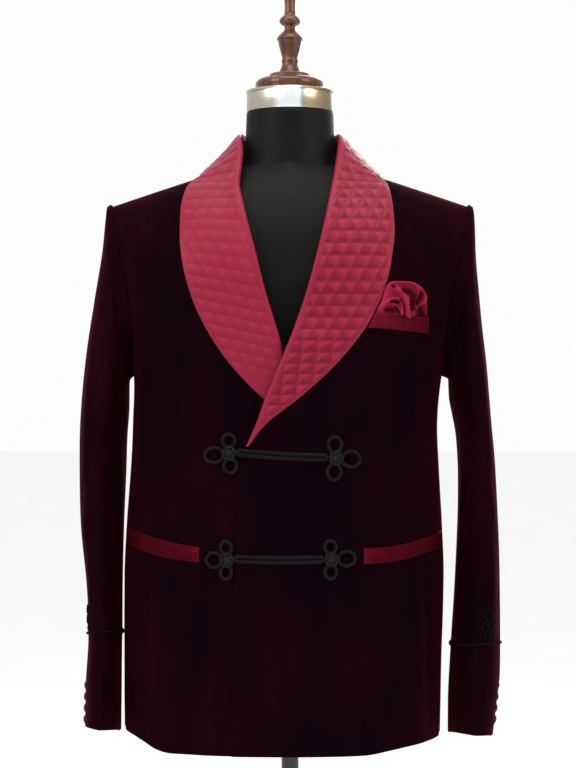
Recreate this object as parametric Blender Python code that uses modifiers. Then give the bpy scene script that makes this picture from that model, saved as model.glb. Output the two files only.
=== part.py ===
# Smoking jacket on a dress form: velvet body and sleeves, quilted shawl collar, frog closures.
# Metres, +Z up. The wearer's front faces -Y and the wearer's left is +X. The floor is z = 0.

import math

import bmesh
import bpy
from mathutils import Matrix, Vector
from mathutils.bvhtree import BVHTree

OBJECT_NAME = "smoking_jacket_on_dress_form"

# Heights
HEM_HEIGHT = 0.704
CHEST_HEIGHT = 1.275
UNDERARM_HEIGHT = 1.167
RIDGE_PEAK = 1.4575
RIDGE_FALL = 0.329
SHOULDER_SPREAD = 0.118

# Cloth
VELVET_WALL = 0.0024
SATIN_WALL = 0.0026
QUILT_RISE = 0.0013
QUILT_SIDE = 0.0183
QUILT_ROW = 0.0158
SEAM = 0.0002
CLEAR = 0.0005
OVER_FRONT = 0.0031
OVER_LAPEL = 0.0049
ROUNDNESS = 2.5

# Seams, as shares of the body's depth in front of or behind the side
FRONT_SEAM_SHARE = 0.36
BACK_SEAM_SHARE = 0.45
ARMHOLE_SHARE = 0.50

# Half gaps at the seams, as turns
SIDE_SEAM_GAP = 0.0020
CENTRE_BACK_GAP = 0.0012

# Back neck
NECK_HALF = 0.0645
NECK_DEPTH = 0.0740

# Cord, knots and buttons
CORD = 0.0048
BAR_WIDTH = 0.0118
BRAID = 0.0044
BUTTON_RADIUS = 0.0066
BUTTON_PITCH = 0.0142
BUTTON_RISE = 0.0042

BUTTON_LOWEST = 0.7290
BUTTON_ANGLE = 1.30
CUFF_BRAID_SHARE = 0.820
CUFF_TREFOIL_ANGLE = math.pi - 0.62

QUARTER = math.pi / 2

# Where the sleeves' seams run, as angles round the sleeve, and half the gap along them
SLEEVE_BACK_SEAM = -0.42
SLEEVE_FRONT_SEAM = math.pi + 0.30
SLEEVE_SEAM_GAP = 0.0055

# The share of a front's or back's rows that are below the chest
ROWS_BELOW_CHEST = 0.7


def table(columns, rows):
    """Rows of numbers, read by the name of a column."""
    return dict(zip(columns.split(), zip(*rows)))


BODY = table("height half front back centre", [
    (0.704, 0.2015, 0.128, 0.128, -0.0099),
    (0.800, 0.2025, 0.128, 0.123, -0.0092),
    (0.900, 0.2040, 0.128, 0.117, -0.0077),
    (0.980, 0.2010, 0.127, 0.110, -0.0072),
    (1.060, 0.1955, 0.126, 0.103, -0.0065),
    (1.110, 0.1938, 0.127, 0.101, -0.0062),
    (1.165, 0.1960, 0.129, 0.105, -0.0030),
    (1.220, 0.2060, 0.131, 0.113, -0.0010),
    (1.275, 0.2190, 0.131, 0.120, 0.0000),
])

FORM = table("height half front back centre", [
    (0.800, 0.165, 0.100, 0.102, -0.0040),
    (0.900, 0.172, 0.105, 0.100, -0.0040),
    (0.980, 0.170, 0.104, 0.094, -0.0040),
    (1.060, 0.161, 0.100, 0.086, -0.0040),
    (1.165, 0.164, 0.104, 0.089, -0.0020),
    (1.275, 0.176, 0.114, 0.104, 0.0000),
])

# The sleeves' outer and inner outlines seen from the front, and their depth seen from the side
SLEEVE_LEFT = table("outer_x outer_z inner_x inner_z middle_y depth", [
    (0.2265, 1.3830, 0.2010, 1.1670, 0.0000, 0.0640),
    (0.2320, 1.3835, 0.2030, 1.1600, 0.0000, 0.0655),
    (0.2350, 1.3680, 0.2035, 1.1520, 0.0000, 0.0675),
    (0.2370, 1.3150, 0.2040, 1.1440, 0.0005, 0.0710),
    (0.2435, 1.2430, 0.2050, 1.1330, 0.0015, 0.0755),
    (0.2505, 1.1850, 0.2085, 1.1166, 0.0030, 0.0780),
    (0.2570, 1.1150, 0.2135, 1.0880, 0.0040, 0.0760),
    (0.2625, 1.0500, 0.2160, 1.0400, 0.0040, 0.0730),
    (0.2665, 0.9700, 0.2145, 0.9700, 0.0010, 0.0695),
    (0.2668, 0.8930, 0.2100, 0.8890, -0.0060, 0.0665),
    (0.2655, 0.8110, 0.2045, 0.8200, -0.0150, 0.0635),
    (0.2620, 0.7600, 0.2010, 0.7650, -0.0200, 0.0620),
    (0.2560, 0.7060, 0.2000, 0.7147, -0.0250, 0.0610),
])
SLEEVE_RIGHT = table("outer_x outer_z inner_x inner_z middle_y depth", [
    (0.2265, 1.3830, 0.2010, 1.1670, 0.0000, 0.0640),
    (0.2325, 1.3835, 0.2052, 1.1600, 0.0000, 0.0655),
    (0.2350, 1.3680, 0.2062, 1.1520, 0.0000, 0.0675),
    (0.2395, 1.3240, 0.2064, 1.1440, 0.0005, 0.0710),
    (0.2490, 1.2650, 0.2064, 1.1330, 0.0015, 0.0755),
    (0.2595, 1.2000, 0.2070, 1.1150, 0.0030, 0.0780),
    (0.2680, 1.1200, 0.2092, 1.0850, 0.0040, 0.0760),
    (0.2695, 1.0500, 0.2108, 1.0310, 0.0040, 0.0730),
    (0.2675, 0.9700, 0.2135, 0.9600, 0.0010, 0.0695),
    (0.2585, 0.8950, 0.2145, 0.8910, -0.0060, 0.0665),
    (0.2555, 0.8300, 0.2142, 0.8300, -0.0150, 0.0635),
    (0.2580, 0.7700, 0.2142, 0.7700, -0.0200, 0.0620),
    (0.2588, 0.7170, 0.2142, 0.7170, -0.0250, 0.0610),
])

# Roll line and outer edge of the lapels, and the front edge below them
ROLL_LEFT = table("height x", [
    (1.0774, -0.0548), (1.1017, -0.0438), (1.1357, -0.0317), (1.1684, -0.0183), (1.2035, -0.0038),
    (1.2604, 0.0168), (1.3262, 0.0350), (1.3913, 0.0495), (1.4272, 0.0560), (1.4500, 0.0600),
])
EDGE_LEFT = table("height x", [
    (1.0774, -0.0530), (1.1054, -0.0317), (1.1381, 0.0095), (1.1805, 0.0556), (1.2243, 0.0909),
    (1.2633, 0.1117), (1.3123, 0.1240), (1.3500, 0.1278), (1.3857, 0.1251), (1.4028, 0.1213),
])
ROLL_RIGHT = table("height x", [
    (1.1100, 0.0060), (1.1450, -0.0040), (1.1962, -0.0087), (1.2398, -0.0208), (1.2749, -0.0316),
    (1.3066, -0.0390), (1.3424, -0.0488), (1.3916, -0.0600), (1.4216, -0.0640), (1.4500, -0.0640),
])
EDGE_RIGHT = table("height x", [
    (1.1250, -0.0170), (1.1454, -0.0402), (1.1866, -0.0778), (1.2353, -0.1084), (1.2610, -0.1194),
    (1.3076, -0.1319), (1.3450, -0.1350), (1.3793, -0.1339), (1.3946, -0.1311), (1.4064, -0.1257),
])
FRONT_EDGE_LEFT = table("height x", [
    (0.700, -0.0712), (0.835, -0.0698), (0.970, -0.0636), (1.050, -0.0618), (1.0774, -0.0548),
])
FRONT_EDGE_RIGHT = table("height x", [(0.700, 0.062), (0.950, 0.060), (1.070, 0.052), (1.110, 0.006)])

# The collar round the neck: the fold's place, and the outer edge's place seen from above
NECK_ROWS = table("fold_x fold_y fold_z edge_x edge_y", [
    (0.0600, -0.0380, 1.4500, 0.1150, -0.0330),
    (0.0630, -0.0120, 1.4700, 0.1130, 0.0080),
    (0.0645, 0.0150, 1.4780, 0.1010, 0.0480),
    (0.0600, 0.0430, 1.4800, 0.0740, 0.0790),
    (0.0420, 0.0670, 1.4800, 0.0460, 0.0920),
    (0.0210, 0.0765, 1.4795, 0.0230, 0.0960),
    (0.0005, 0.0795, 1.4790, 0.0005, 0.0975),
])

# The frogs: a knot, and three cord loops round it (place and outer size)
FROG_LOOPS = {
    "frog_upper_right": [(-0.0743, 1.0885, 0.0194), (-0.0945, 1.0695, 0.0230), (-0.0722, 1.0560, 0.0200)],
    "frog_upper_left": [(0.0532, 1.0845, 0.0206), (0.0745, 1.0650, 0.0236), (0.0525, 1.0480, 0.0212)],
    "frog_lower_right": [(-0.0778, 0.9590, 0.0180), (-0.0925, 0.9425, 0.0226), (-0.0778, 0.9262, 0.0180)],
    "frog_lower_left": [(0.0480, 0.9602, 0.0180), (0.0692, 0.9445, 0.0224), (0.0485, 0.9270, 0.0184)],
}
FROG_KNOTS = {
    "frog_upper_right": (-0.0735, 1.0725),
    "frog_upper_left": (0.0548, 1.0664),
    "frog_lower_right": (-0.0760, 0.9427),
    "frog_lower_left": (0.0498, 0.9437),
}
FROG_BARS = {
    "frog_upper_bar": (-0.0622, 1.0735, 0.0435, 1.0672),
    "frog_lower_bar": (-0.0648, 0.9445, 0.0385, 0.9440),
}
KNOT_RADIUS = 0.0080
KNOT_FLATNESS = 0.45

# How far a piece that lies on the cloth is from the cloth's smooth surface, so that it clears the facets
LIE = 0.0009
FROG_LIE = {"frog_upper_right": 0.0006, "frog_upper_left": 0.0009, "frog_lower_right": 0.0006,
            "frog_lower_left": 0.0004, "frog_upper_bar": 0.0012, "frog_lower_bar": 0.0007}

# Pockets: corners of each welt on the front, from the end nearer the front edge
BREAST_WELT = table("x low high", [
    (0.0992, 1.2249, 1.2345), (0.1068, 1.2240, 1.2425), (0.1690, 1.2205, 1.2422),
])
HIP_WELT_LEFT = table("x low high", [
    (0.0880, 0.9375, 0.9566), (0.1300, 0.9395, 0.9590), (0.1870, 0.9520, 0.9720),
])
HIP_WELT_RIGHT = table("x low high", [
    (0.1097, 0.9391, 0.9579), (0.1500, 0.9428, 0.9640), (0.2000, 0.9550, 0.9770),
])

# A bar's cord is still up on the left front this far before the front's edge, and never lower than the lap
LAP_WAY = 0.0035
OVER_LAP = 0.0030

# Stand
FORM_DROP = 0.0033
NECK_CENTRE_Y = 0.008
NECK_TOP = 1.5040
RING_RADIUS = 0.0555
RING_HEIGHT = 0.0285
POLE_RADIUS = 0.0110
BASE_RADIUS = 0.160
FORM_BOTTOM = 0.800


def steps(tab, column):
    """Slopes of a smooth curve through a column, over the table's first column."""
    keys, values = next(iter(tab.values())), tab[column]
    runs = [(values[i + 1] - values[i]) / (keys[i + 1] - keys[i]) for i in range(len(keys) - 1)]
    inner = [(a + b) / 2 if a * b > 0 else 0.0 for a, b in zip(runs, runs[1:])]
    return [runs[0], *inner, runs[-1]]


def read(tab, column, at):
    """A column's value where the first column is `at`, on a smooth curve through the rows."""
    keys, values = next(iter(tab.values())), tab[column]
    at = min(max(at, keys[0]), keys[-1])
    i = max(k for k in range(len(keys) - 1) if keys[k] <= at)
    span = keys[i + 1] - keys[i]
    t = (at - keys[i]) / span
    slopes = steps(tab, column)
    return ((1 + 2 * t) * (1 - t) ** 2 * values[i] + t * t * (3 - 2 * t) * values[i + 1]
            + t * (1 - t) ** 2 * span * slopes[i] - t * t * (1 - t) * span * slopes[i + 1])


def along_rows(tab, column, share):
    """A column's value a share of the way down the rows, which count as evenly spaced."""
    numbered = {"row": tuple(range(len(tab[column]))), "value": tab[column]}
    return read(numbered, "value", share * (len(tab[column]) - 1))


def ramp(value, start, end):
    """0 before start, 1 after end, and smooth between."""
    t = min(max((value - start) / (end - start), 0.0), 1.0)
    return t * t * (3 - 2 * t)


def blend(a, b, share):
    return a + (b - a) * share


def signed_power(value, power):
    return math.copysign(abs(value) ** power, value)


# The jacket's outer surface. Turn goes round from the wearer's left (0) by the front (a quarter) to
# the right. Level goes from the hem (0) by the chest (1) to the ridge of the shoulders (2).


def ridge_height(x):
    return RIDGE_PEAK - RIDGE_FALL * abs(x)


def jacket_point(turn, level):
    rise = math.sin(max(level - 1, 0) * QUARTER)
    height = blend(HEM_HEIGHT, CHEST_HEIGHT, min(level, 1))
    half = read(BODY, "half", height) * (1 + SHOULDER_SPREAD * rise)
    depth = read(BODY, "front" if math.sin(turn) > 0 else "back", height)
    x = read(BODY, "centre", height) + half * signed_power(math.cos(turn), 2 / ROUNDNESS)
    y = -depth * signed_power(math.sin(turn), 2 / ROUNDNESS)
    if level > 1:
        height = blend(CHEST_HEIGHT, ridge_height(x), rise)
        y *= math.cos((level - 1) * QUARTER)
    return Vector((x, y, height))


def jacket_out(turn, level):
    """The direction straight out of the cloth."""
    tiny = 0.002
    level = min(level, 2 - tiny)
    up = jacket_point(turn, level + tiny) - jacket_point(turn, level - tiny)
    round_it = jacket_point(turn + tiny, level) - jacket_point(turn - tiny, level)
    return up.cross(round_it).normalized()


def level_at(x, height):
    if height <= CHEST_HEIGHT:
        return (height - HEM_HEIGHT) / (CHEST_HEIGHT - HEM_HEIGHT)
    rise = (height - CHEST_HEIGHT) / (ridge_height(x) - CHEST_HEIGHT)
    return 1 + math.asin(min(rise, 1)) / QUARTER


def turn_at(x, level):
    """Where on the front half an x lies, at a level."""
    height = blend(HEM_HEIGHT, CHEST_HEIGHT, min(level, 1))
    rise = math.sin(max(level - 1, 0) * QUARTER)
    half = read(BODY, "half", height) * (1 + SHOULDER_SPREAD * rise)
    share = (x - read(BODY, "centre", height)) / half
    return math.acos(signed_power(min(max(share, -1), 1), ROUNDNESS / 2))


def overlap_lift(x, height):
    """How far the wearer's left front stands off, where it laps over the right front and its lapel."""
    lap = 1 - ramp(x, 0.078, 0.125)
    lap *= 1 - ramp(height, 1.205, 1.260)
    over_lapel = ramp(height, 1.085, 1.118) * (1 - ramp(height, 1.200, 1.245)) * (1 - ramp(x, 0.022, 0.062))
    return OVER_FRONT * lap + OVER_LAPEL * over_lapel


def front_spot(x, height, lift):
    """A point on the front, lifted off the cloth, and the direction straight out."""
    level = level_at(x, height)
    turn = turn_at(x, level)
    out = jacket_out(turn, level)
    return jacket_point(turn, level) + out * lift, out


def side_turn(side, turn):
    """A turn measured from the wearer's side seam line towards the front, on either side."""
    return turn if side > 0 else math.pi - turn


def share_turn(share):
    """The turn where the cloth has come a share of the way from the side to the front."""
    return math.asin(share ** (ROUNDNESS / 2))


def armhole_share(height):
    """How far from the side the armhole's edge is at a height, as a share of the depth."""
    drop = (CHEST_HEIGHT - height) / (CHEST_HEIGHT - UNDERARM_HEIGHT)
    return ARMHOLE_SHARE * math.sqrt(max(0.0, 1 - max(drop, 0) ** 2))


def armhole_height(share):
    """The height of the armhole's lower half at a share of the depth."""
    drop = math.sqrt(max(0.0, 1 - (share / ARMHOLE_SHARE) ** 2))
    return CHEST_HEIGHT - (CHEST_HEIGHT - UNDERARM_HEIGHT) * drop


def edge_turn(level, seam_share):
    """The turn of a front's or back's side edge: its side seam, then the armhole above it."""
    height = blend(HEM_HEIGHT, CHEST_HEIGHT, min(level, 1))
    share = max(seam_share, armhole_share(height)) if height > armhole_height(seam_share) else seam_share
    return share_turn(share) + SIDE_SEAM_GAP


# Helpers that make objects


def make_group(name):
    group = bpy.data.collections.new(name)
    bpy.context.scene.collection.children.link(group)
    return group


def make_material(name, colour, roughness, metallic=0.0):
    material = bpy.data.materials.new(name)
    material.use_nodes = True
    shader = material.node_tree.nodes["Principled BSDF"]
    shader.inputs["Base Color"].default_value = (*colour, 1)
    shader.inputs["Roughness"].default_value = roughness
    shader.inputs["Metallic"].default_value = metallic
    return material


def make_object(name, bm, group, material, smooth=True):
    bmesh.ops.recalc_face_normals(bm, faces=bm.faces)
    if bm.calc_volume(signed=True) < 0:
        bmesh.ops.reverse_faces(bm, faces=bm.faces)
    mesh = bpy.data.meshes.new(name)
    bm.to_mesh(mesh)
    bm.free()
    if smooth:
        mesh.shade_smooth()
        mesh.set_sharp_from_angle(angle=math.radians(50))
    mesh.materials.append(material)
    piece = bpy.data.objects.new(name, mesh)
    group.objects.link(piece)
    return piece


def cloth_wall(name, columns, rows, face, wall, group, material):
    """Cloth with a thickness: a grid extruded, its outer side moved by face() and its inner side a wall
    below. face(across, up) gives a place on the outer side and the direction straight out there."""
    bm = bmesh.new()
    bmesh.ops.create_grid(bm, x_segments=columns, y_segments=rows, size=0.5)
    raised = bmesh.ops.extrude_face_region(bm, geom=bm.faces[:], use_keep_orig=True)
    outer = {part for part in raised["geom"] if isinstance(part, bmesh.types.BMVert)}
    for corner in bm.verts:
        spot, out = face(corner.co.x + 0.5, corner.co.y + 0.5)
        corner.co = spot if corner in outer else spot - out * wall
    return make_object(name, bm, group, material)


def into_group(piece, group):
    """A new primitive is in the active collection, so it is moved to the object's own."""
    for other in list(piece.users_collection):
        other.objects.unlink(piece)
    group.objects.link(piece)
    return piece


def join_solids(name, pieces):
    """One body from pieces that cross each other. The first piece keeps its material."""
    whole = pieces[0]
    for other in pieces[1:]:
        union = whole.modifiers.new("join", "BOOLEAN")
        union.operation = "UNION"
        union.solver = "EXACT"
        union.object = other
        graph = bpy.context.evaluated_depsgraph_get()
        mesh = bpy.data.meshes.new_from_object(whole.evaluated_get(graph))
        whole.modifiers.clear()
        whole.data = mesh
        bpy.data.objects.remove(other)
    whole.name = name
    whole.data.name = name
    return whole


# The body's panels


def front_edge_x(side, height):
    """Where a front ends: its front edge, then the roll line of its lapel."""
    if side > 0:
        return read(FRONT_EDGE_LEFT, "x", height) if height < 1.0774 else read(ROLL_LEFT, "x", height)
    return read(FRONT_EDGE_RIGHT, "x", height) if height < 1.110 else read(ROLL_RIGHT, "x", height)


def row_level(up):
    """The level of a front's or back's row, a share of the way up."""
    if up < ROWS_BELOW_CHEST:
        return up / ROWS_BELOW_CHEST
    return 1 + (up - ROWS_BELOW_CHEST) / (1 - ROWS_BELOW_CHEST)


def make_front(side, group, material):
    def face(across, up):
        level = row_level(up)
        height = blend(HEM_HEIGHT, CHEST_HEIGHT, min(level, 1))
        for _ in range(8):
            edge = front_edge_x(side, height)
            if level > 1:
                height = blend(CHEST_HEIGHT, ridge_height(edge), math.sin((level - 1) * QUARTER))
        front = side_turn(side, turn_at(edge, level))
        turn = side_turn(side, blend(edge_turn(level, FRONT_SEAM_SHARE), front, across))
        spot, out = jacket_point(turn, level), jacket_out(turn, level)
        if side > 0:
            spot = spot + out * overlap_lift(spot.x, spot.z)
        return spot + Vector((0, -SEAM, 0)), out

    name = "front_left" if side > 0 else "front_right"
    return cloth_wall(name, 9, 20, face, VELVET_WALL, group, material)


def neck_level(x):
    """The level of the back's top edge: the neck hole is an oval seen from above."""
    oval = NECK_DEPTH * math.sqrt(1 - min(abs(x) / NECK_HALF, 1) ** 2)
    return 1 + math.acos(oval / read(BODY, "back", CHEST_HEIGHT)) / QUARTER


def make_back(side, group, material):
    centre = -QUARTER + CENTRE_BACK_GAP

    def face(across, up):
        level = row_level(up)
        nearer_centre = 1 - (1 - across) ** 1.6
        turn = blend(-edge_turn(level, BACK_SEAM_SHARE), centre, nearer_centre)
        if level > 1:
            level = blend(1, neck_level(jacket_point(turn, 2).x), level - 1)
        turn = side_turn(side, turn)
        return jacket_point(turn, level) + Vector((0, SEAM, 0)), jacket_out(turn, level)

    name = "back_left" if side > 0 else "back_right"
    return cloth_wall(name, 8, 17, face, VELVET_WALL, group, material)


def make_side(side, group, material):
    front, back = share_turn(FRONT_SEAM_SHARE), -share_turn(BACK_SEAM_SHARE)

    def face(across, up):
        turn = blend(back, front, across)
        share = math.sin(abs(turn)) ** (2 / ROUNDNESS)
        height = blend(HEM_HEIGHT, armhole_height(share), up)
        level = (height - HEM_HEIGHT) / (CHEST_HEIGHT - HEM_HEIGHT)
        turn = side_turn(side, turn)
        return jacket_point(turn, level), jacket_out(turn, level)

    name = "side_left" if side > 0 else "side_right"
    return cloth_wall(name, 6, 12, face, VELVET_WALL, group, material)


# Sleeves. Angle goes round a sleeve: a quarter is the outer side, minus a quarter the inner side, 0 the
# back and a half turn the front.


def armhole_point(side, angle):
    """A point of the armhole's edge on the body's outer surface."""
    share = ARMHOLE_SHARE * abs(math.cos(angle))
    if math.sin(angle) < 0:
        height = CHEST_HEIGHT + (CHEST_HEIGHT - UNDERARM_HEIGHT) * math.sin(angle)
        level = (height - HEM_HEIGHT) / (CHEST_HEIGHT - HEM_HEIGHT)
        turn = share_turn(share)
    else:
        level = 1 + math.asin(math.sin(angle)) / QUARTER
        turn = share_turn(ARMHOLE_SHARE)
    turn = math.copysign(turn, -math.cos(angle))
    return jacket_point(side_turn(side, turn), level)


def sleeve_ring(side, share):
    """Outer and inner points of a sleeve's slanted ring, and half its depth."""
    tab = SLEEVE_LEFT if side > 0 else SLEEVE_RIGHT
    middle = along_rows(tab, "middle_y", share)
    outer = Vector((side * along_rows(tab, "outer_x", share), middle, along_rows(tab, "outer_z", share)))
    inner = Vector((side * along_rows(tab, "inner_x", share), middle, along_rows(tab, "inner_z", share)))
    return outer, inner, along_rows(tab, "depth", share)


def sleeve_point(side, angle, share):
    outer, inner, depth = sleeve_ring(side, share)
    spot = (outer + inner) / 2 + (outer - inner) / 2 * math.sin(angle)
    spot = spot + Vector((0, depth * math.cos(angle), 0))
    start = 1 - ramp(share, 0.0, 0.06)
    if start > 0:
        seat = armhole_point(side, angle) + Vector((side * 0.0010, 0, 0))
        away = Vector((0, seat.y, seat.z - CHEST_HEIGHT)).normalized()
        spot = blend(spot, seat + away * 0.0012, start)
    return spot


def sleeve_out(side, angle, share):
    tiny = 0.004
    down = sleeve_point(side, angle, min(share + tiny, 1)) - sleeve_point(side, angle, max(share - tiny, 0))
    round_it = sleeve_point(side, angle + tiny, share) - sleeve_point(side, angle - tiny, share)
    return down.cross(round_it).normalized() * side


def make_sleeve(side, part, group, material):
    low, high = SLEEVE_BACK_SEAM, SLEEVE_FRONT_SEAM
    if part == "under":
        low, high = SLEEVE_FRONT_SEAM, SLEEVE_BACK_SEAM + math.tau

    def face(across, down):
        angle = blend(low + SLEEVE_SEAM_GAP, high - SLEEVE_SEAM_GAP, across)
        share = down ** 1.25
        return sleeve_point(side, angle, share), sleeve_out(side, angle, share)

    name = f"sleeve_{'left' if side > 0 else 'right'}_{part}"
    return cloth_wall(name, 10 if part == "top" else 6, 16, face, VELVET_WALL, group, material)


# Collar


def off_the_cloth(spot, lift):
    """A point moved out from the middle of the body until it is `lift` off the jacket's surface."""
    height = min(spot.z, CHEST_HEIGHT)
    rise = max(spot.z - CHEST_HEIGHT, 0)
    top = ridge_height(spot.x) - CHEST_HEIGHT
    half = read(BODY, "half", height) * (1 + SHOULDER_SPREAD * min(rise / top, 1))
    depth = read(BODY, "front" if spot.y < 0 else "back", height)
    share = min(abs(spot.x - read(BODY, "centre", height)) / half, 1)
    depth *= (1 - share ** ROUNDNESS) ** (1 / ROUNDNESS)
    reach = math.hypot(spot.y, rise)
    surface = reach / math.hypot(spot.y / depth, rise / top)
    if reach >= surface + lift:
        return spot
    scale = (surface + lift) / reach
    return Vector((spot.x, spot.y * scale, CHEST_HEIGHT + rise * scale if rise else spot.z))


def collar_rows(side):
    """Fold and edge points from the tip of a lapel to the centre back."""
    roll, edge = (ROLL_LEFT, EDGE_LEFT) if side > 0 else (ROLL_RIGHT, EDGE_RIGHT)
    tilt = 0.0 if side > 0 else 0.22
    rows = []
    low, high, count = edge["height"][0] + 0.005, 1.404, 12
    for i in range(count):
        height = blend(low, high, i / (count - 1))
        edge_x = read(edge, "x", height)
        drop = tilt * (1 - ramp(height, 1.26, 1.38)) * abs(edge_x - read(roll, "x", height - 0.01))
        fold_height = max(height - drop, roll["height"][0])
        fold, _ = front_spot(read(roll, "x", fold_height), fold_height, CLEAR)
        outer, _ = front_spot(edge_x, height, CLEAR)
        rows.append((fold, outer))
    for i in range(len(NECK_ROWS["fold_x"])):
        row = {column: values[i] for column, values in NECK_ROWS.items()}
        fold = Vector((side * row["fold_x"], row["fold_y"], row["fold_z"]))
        rows.append((fold, off_the_cloth(over_shoulder(side * row["edge_x"], row["edge_y"]), CLEAR)))
    return rows


def over_shoulder(x, y):
    """The point of the jacket's surface above the chest that lies over a place seen from above."""
    top = ridge_height(x) - CHEST_HEIGHT
    share = min(abs(x) / (read(BODY, "half", CHEST_HEIGHT) * (1 + SHOULDER_SPREAD)), 1)
    depth = read(BODY, "front" if y < 0 else "back", CHEST_HEIGHT)
    depth *= (1 - share ** ROUNDNESS) ** (1 / ROUNDNESS)
    return Vector((x, y, CHEST_HEIGHT + top * math.sqrt(max(0.0, 1 - (y / depth) ** 2))))


class Collar:
    """One half of the collar, read by how far along it and across it a point is."""

    def __init__(self, side, panels):
        self.side = side
        self.panels = [BVHTree.FromObject(panel, bpy.context.evaluated_depsgraph_get()) for panel in panels]
        rows = collar_rows(side)
        middles = [(fold + outer) / 2 for fold, outer in rows]
        runs = [0.0]
        for a, b in zip(middles, middles[1:]):
            runs.append(runs[-1] + (b - a).length)
        self.length = runs[-1]
        self.curve = {"run": tuple(runs)}
        for number, axis in enumerate("xyz"):
            self.curve["fold_" + axis] = tuple(fold[number] for fold, _ in rows)
            self.curve["edge_" + axis] = tuple(outer[number] for _, outer in rows)

    def ends(self, run):
        fold = Vector([read(self.curve, "fold_" + axis, run) for axis in "xyz"])
        edge = Vector([read(self.curve, "edge_" + axis, run) for axis in "xyz"])
        return fold, edge

    def spot(self, run, far):
        """far is the distance from the fold line."""
        fold, edge = self.ends(run)
        width = (edge - fold).length
        spot = blend(fold, edge, far / width)
        roll = 0.0030 * math.exp(-((far / 0.014) ** 2)) * ramp(width, 0.006, 0.04)
        lift = CLEAR + roll * self.shows(spot.z)
        if self.side > 0:
            lift += overlap_lift(spot.x, spot.z) + 0.0018 * (1 - ramp(run, 0.0, 0.03))
        return off_the_cloth(spot, lift)

    def shows(self, height):
        """0 where the right lapel is under the left front, and 1 elsewhere."""
        return 1.0 if self.side > 0 else ramp(height, 1.185, 1.225)

    def seated(self, run, far):
        """The spot again, moved out where it would be in or too near the panels below, and the way out."""
        spot, out = self.spot(run, far), self.out(run, far)
        for panel in self.panels:
            hit, _, _, _ = panel.ray_cast(spot + out * 0.02, -out, 0.03)
            if hit is not None and (spot - hit).dot(out) < LIE:
                spot = hit + out * LIE
        return spot, out

    def out(self, run, far):
        tiny = 0.0015
        low, high = max(run - tiny, 0), min(run + tiny, self.length)
        up = self.spot(high, far) - self.spot(low, far)
        over = self.spot(run, far + tiny) - self.spot(run, far - tiny)
        return over.cross(up).normalized() * self.side


def make_collar(side, panels, group, material):
    """Quilted satin: each row of the lattice is a line of corners, and the cloth between two rows is
    triangles whose middles stand up on the outer side. The inner side is plain."""
    collar = Collar(side, panels)
    count = round(collar.length / QUILT_ROW)
    bm = bmesh.new()
    outer_rows, inner_rows = [], []
    for number in range(count + 1):
        run = collar.length * number / count
        run = min(max(run, 0.0008), collar.length)
        fold, edge = collar.ends(run)
        width = (edge - fold).length
        start = (abs(fold.x) if run < 0.62 * collar.length else 0.060) + (number % 2) * QUILT_SIDE / 2
        first = math.ceil((start + 0.35 * QUILT_SIDE) / QUILT_SIDE)
        fars = [0.0]
        while first * QUILT_SIDE - start < width - 0.30 * QUILT_SIDE:
            fars.append(first * QUILT_SIDE - start)
            first += 1
        fars.append(width)
        spots = [collar.seated(run, far) for far in fars]
        inner_rows.append([bm.verts.new(spot) for spot, _ in spots])
        outer_rows.append([bm.verts.new(spot + out * SATIN_WALL) for spot, out in spots])
    for rows, rise in ((outer_rows, QUILT_RISE), (inner_rows, 0.0)):
        for low, high in zip(rows, rows[1:]):
            fill_between(bm, low, high, rise * collar.shows(high[0].co.z))
    close_edges(bm, outer_rows, inner_rows)
    raise_middles(bm)
    name = "collar_left" if side > 0 else "collar_right"
    return make_object(name, bm, group, material)


def fill_between(bm, low, high, rise):
    """Triangles between two rows of corners, always across the shorter diagonal."""
    mark = bm.faces.layers.float.get("rise") or bm.faces.layers.float.new("rise")
    i = j = 0
    while i < len(low) - 1 or j < len(high) - 1:
        step_low = j == len(high) - 1
        if not step_low and i < len(low) - 1:
            step_low = (low[i + 1].co - high[j].co).length < (low[i].co - high[j + 1].co).length
        if step_low:
            face = bm.faces.new((low[i], low[i + 1], high[j]))
            i += 1
        else:
            face = bm.faces.new((low[i], high[j + 1], high[j]))
            j += 1
        face[mark] = rise


def close_edges(bm, outer_rows, inner_rows):
    """Faces round the edge of a collar half, from its outer side to its inner side."""
    def around(rows):
        right = [row[-1] for row in rows]
        left = [row[0] for row in rows]
        return rows[0] + right[1:-1] + rows[-1][::-1] + left[1:-1][::-1]

    outer, inner = around(outer_rows), around(inner_rows)
    for i, corner in enumerate(outer):
        k = (i + 1) % len(outer)
        bm.faces.new((corner, outer[k], inner[k], inner[i]))


def raise_middles(bm):
    """Each marked triangle gets a corner in its middle, moved out of the cloth."""
    mark = bm.faces.layers.float["rise"]
    bmesh.ops.recalc_face_normals(bm, faces=bm.faces)
    for face in [f for f in bm.faces if f[mark] > 0]:
        size = min(1.0, face.calc_area() / (0.30 * QUILT_SIDE * QUILT_ROW))
        middle = face.calc_center_median() + face.normal * face[mark] * size
        made = bmesh.ops.poke(bm, faces=[face])
        made["verts"][0].co = middle


def make_collar_stand(group, material):
    """The band inside the back neck, from the neck seam up to the fold."""
    def face(across, up):
        angle = QUARTER * (across * 2 - 1)
        x, depth = NECK_HALF * math.sin(angle), NECK_DEPTH * math.cos(angle)
        climb = math.sin((neck_level(x) - 1) * QUARTER)
        low = Vector((x, depth + SEAM, blend(CHEST_HEIGHT, ridge_height(x), climb) + 0.0012))
        top = Vector((0.0618 * math.sin(angle), 0.0020 + 0.0740 * math.cos(angle), 1.4765))
        out = Vector((math.sin(angle), math.cos(angle), 0))
        return blend(low, top, up), out

    return cloth_wall("collar_stand", 14, 2, face, 0.0022, group, material)


# Pockets


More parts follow.
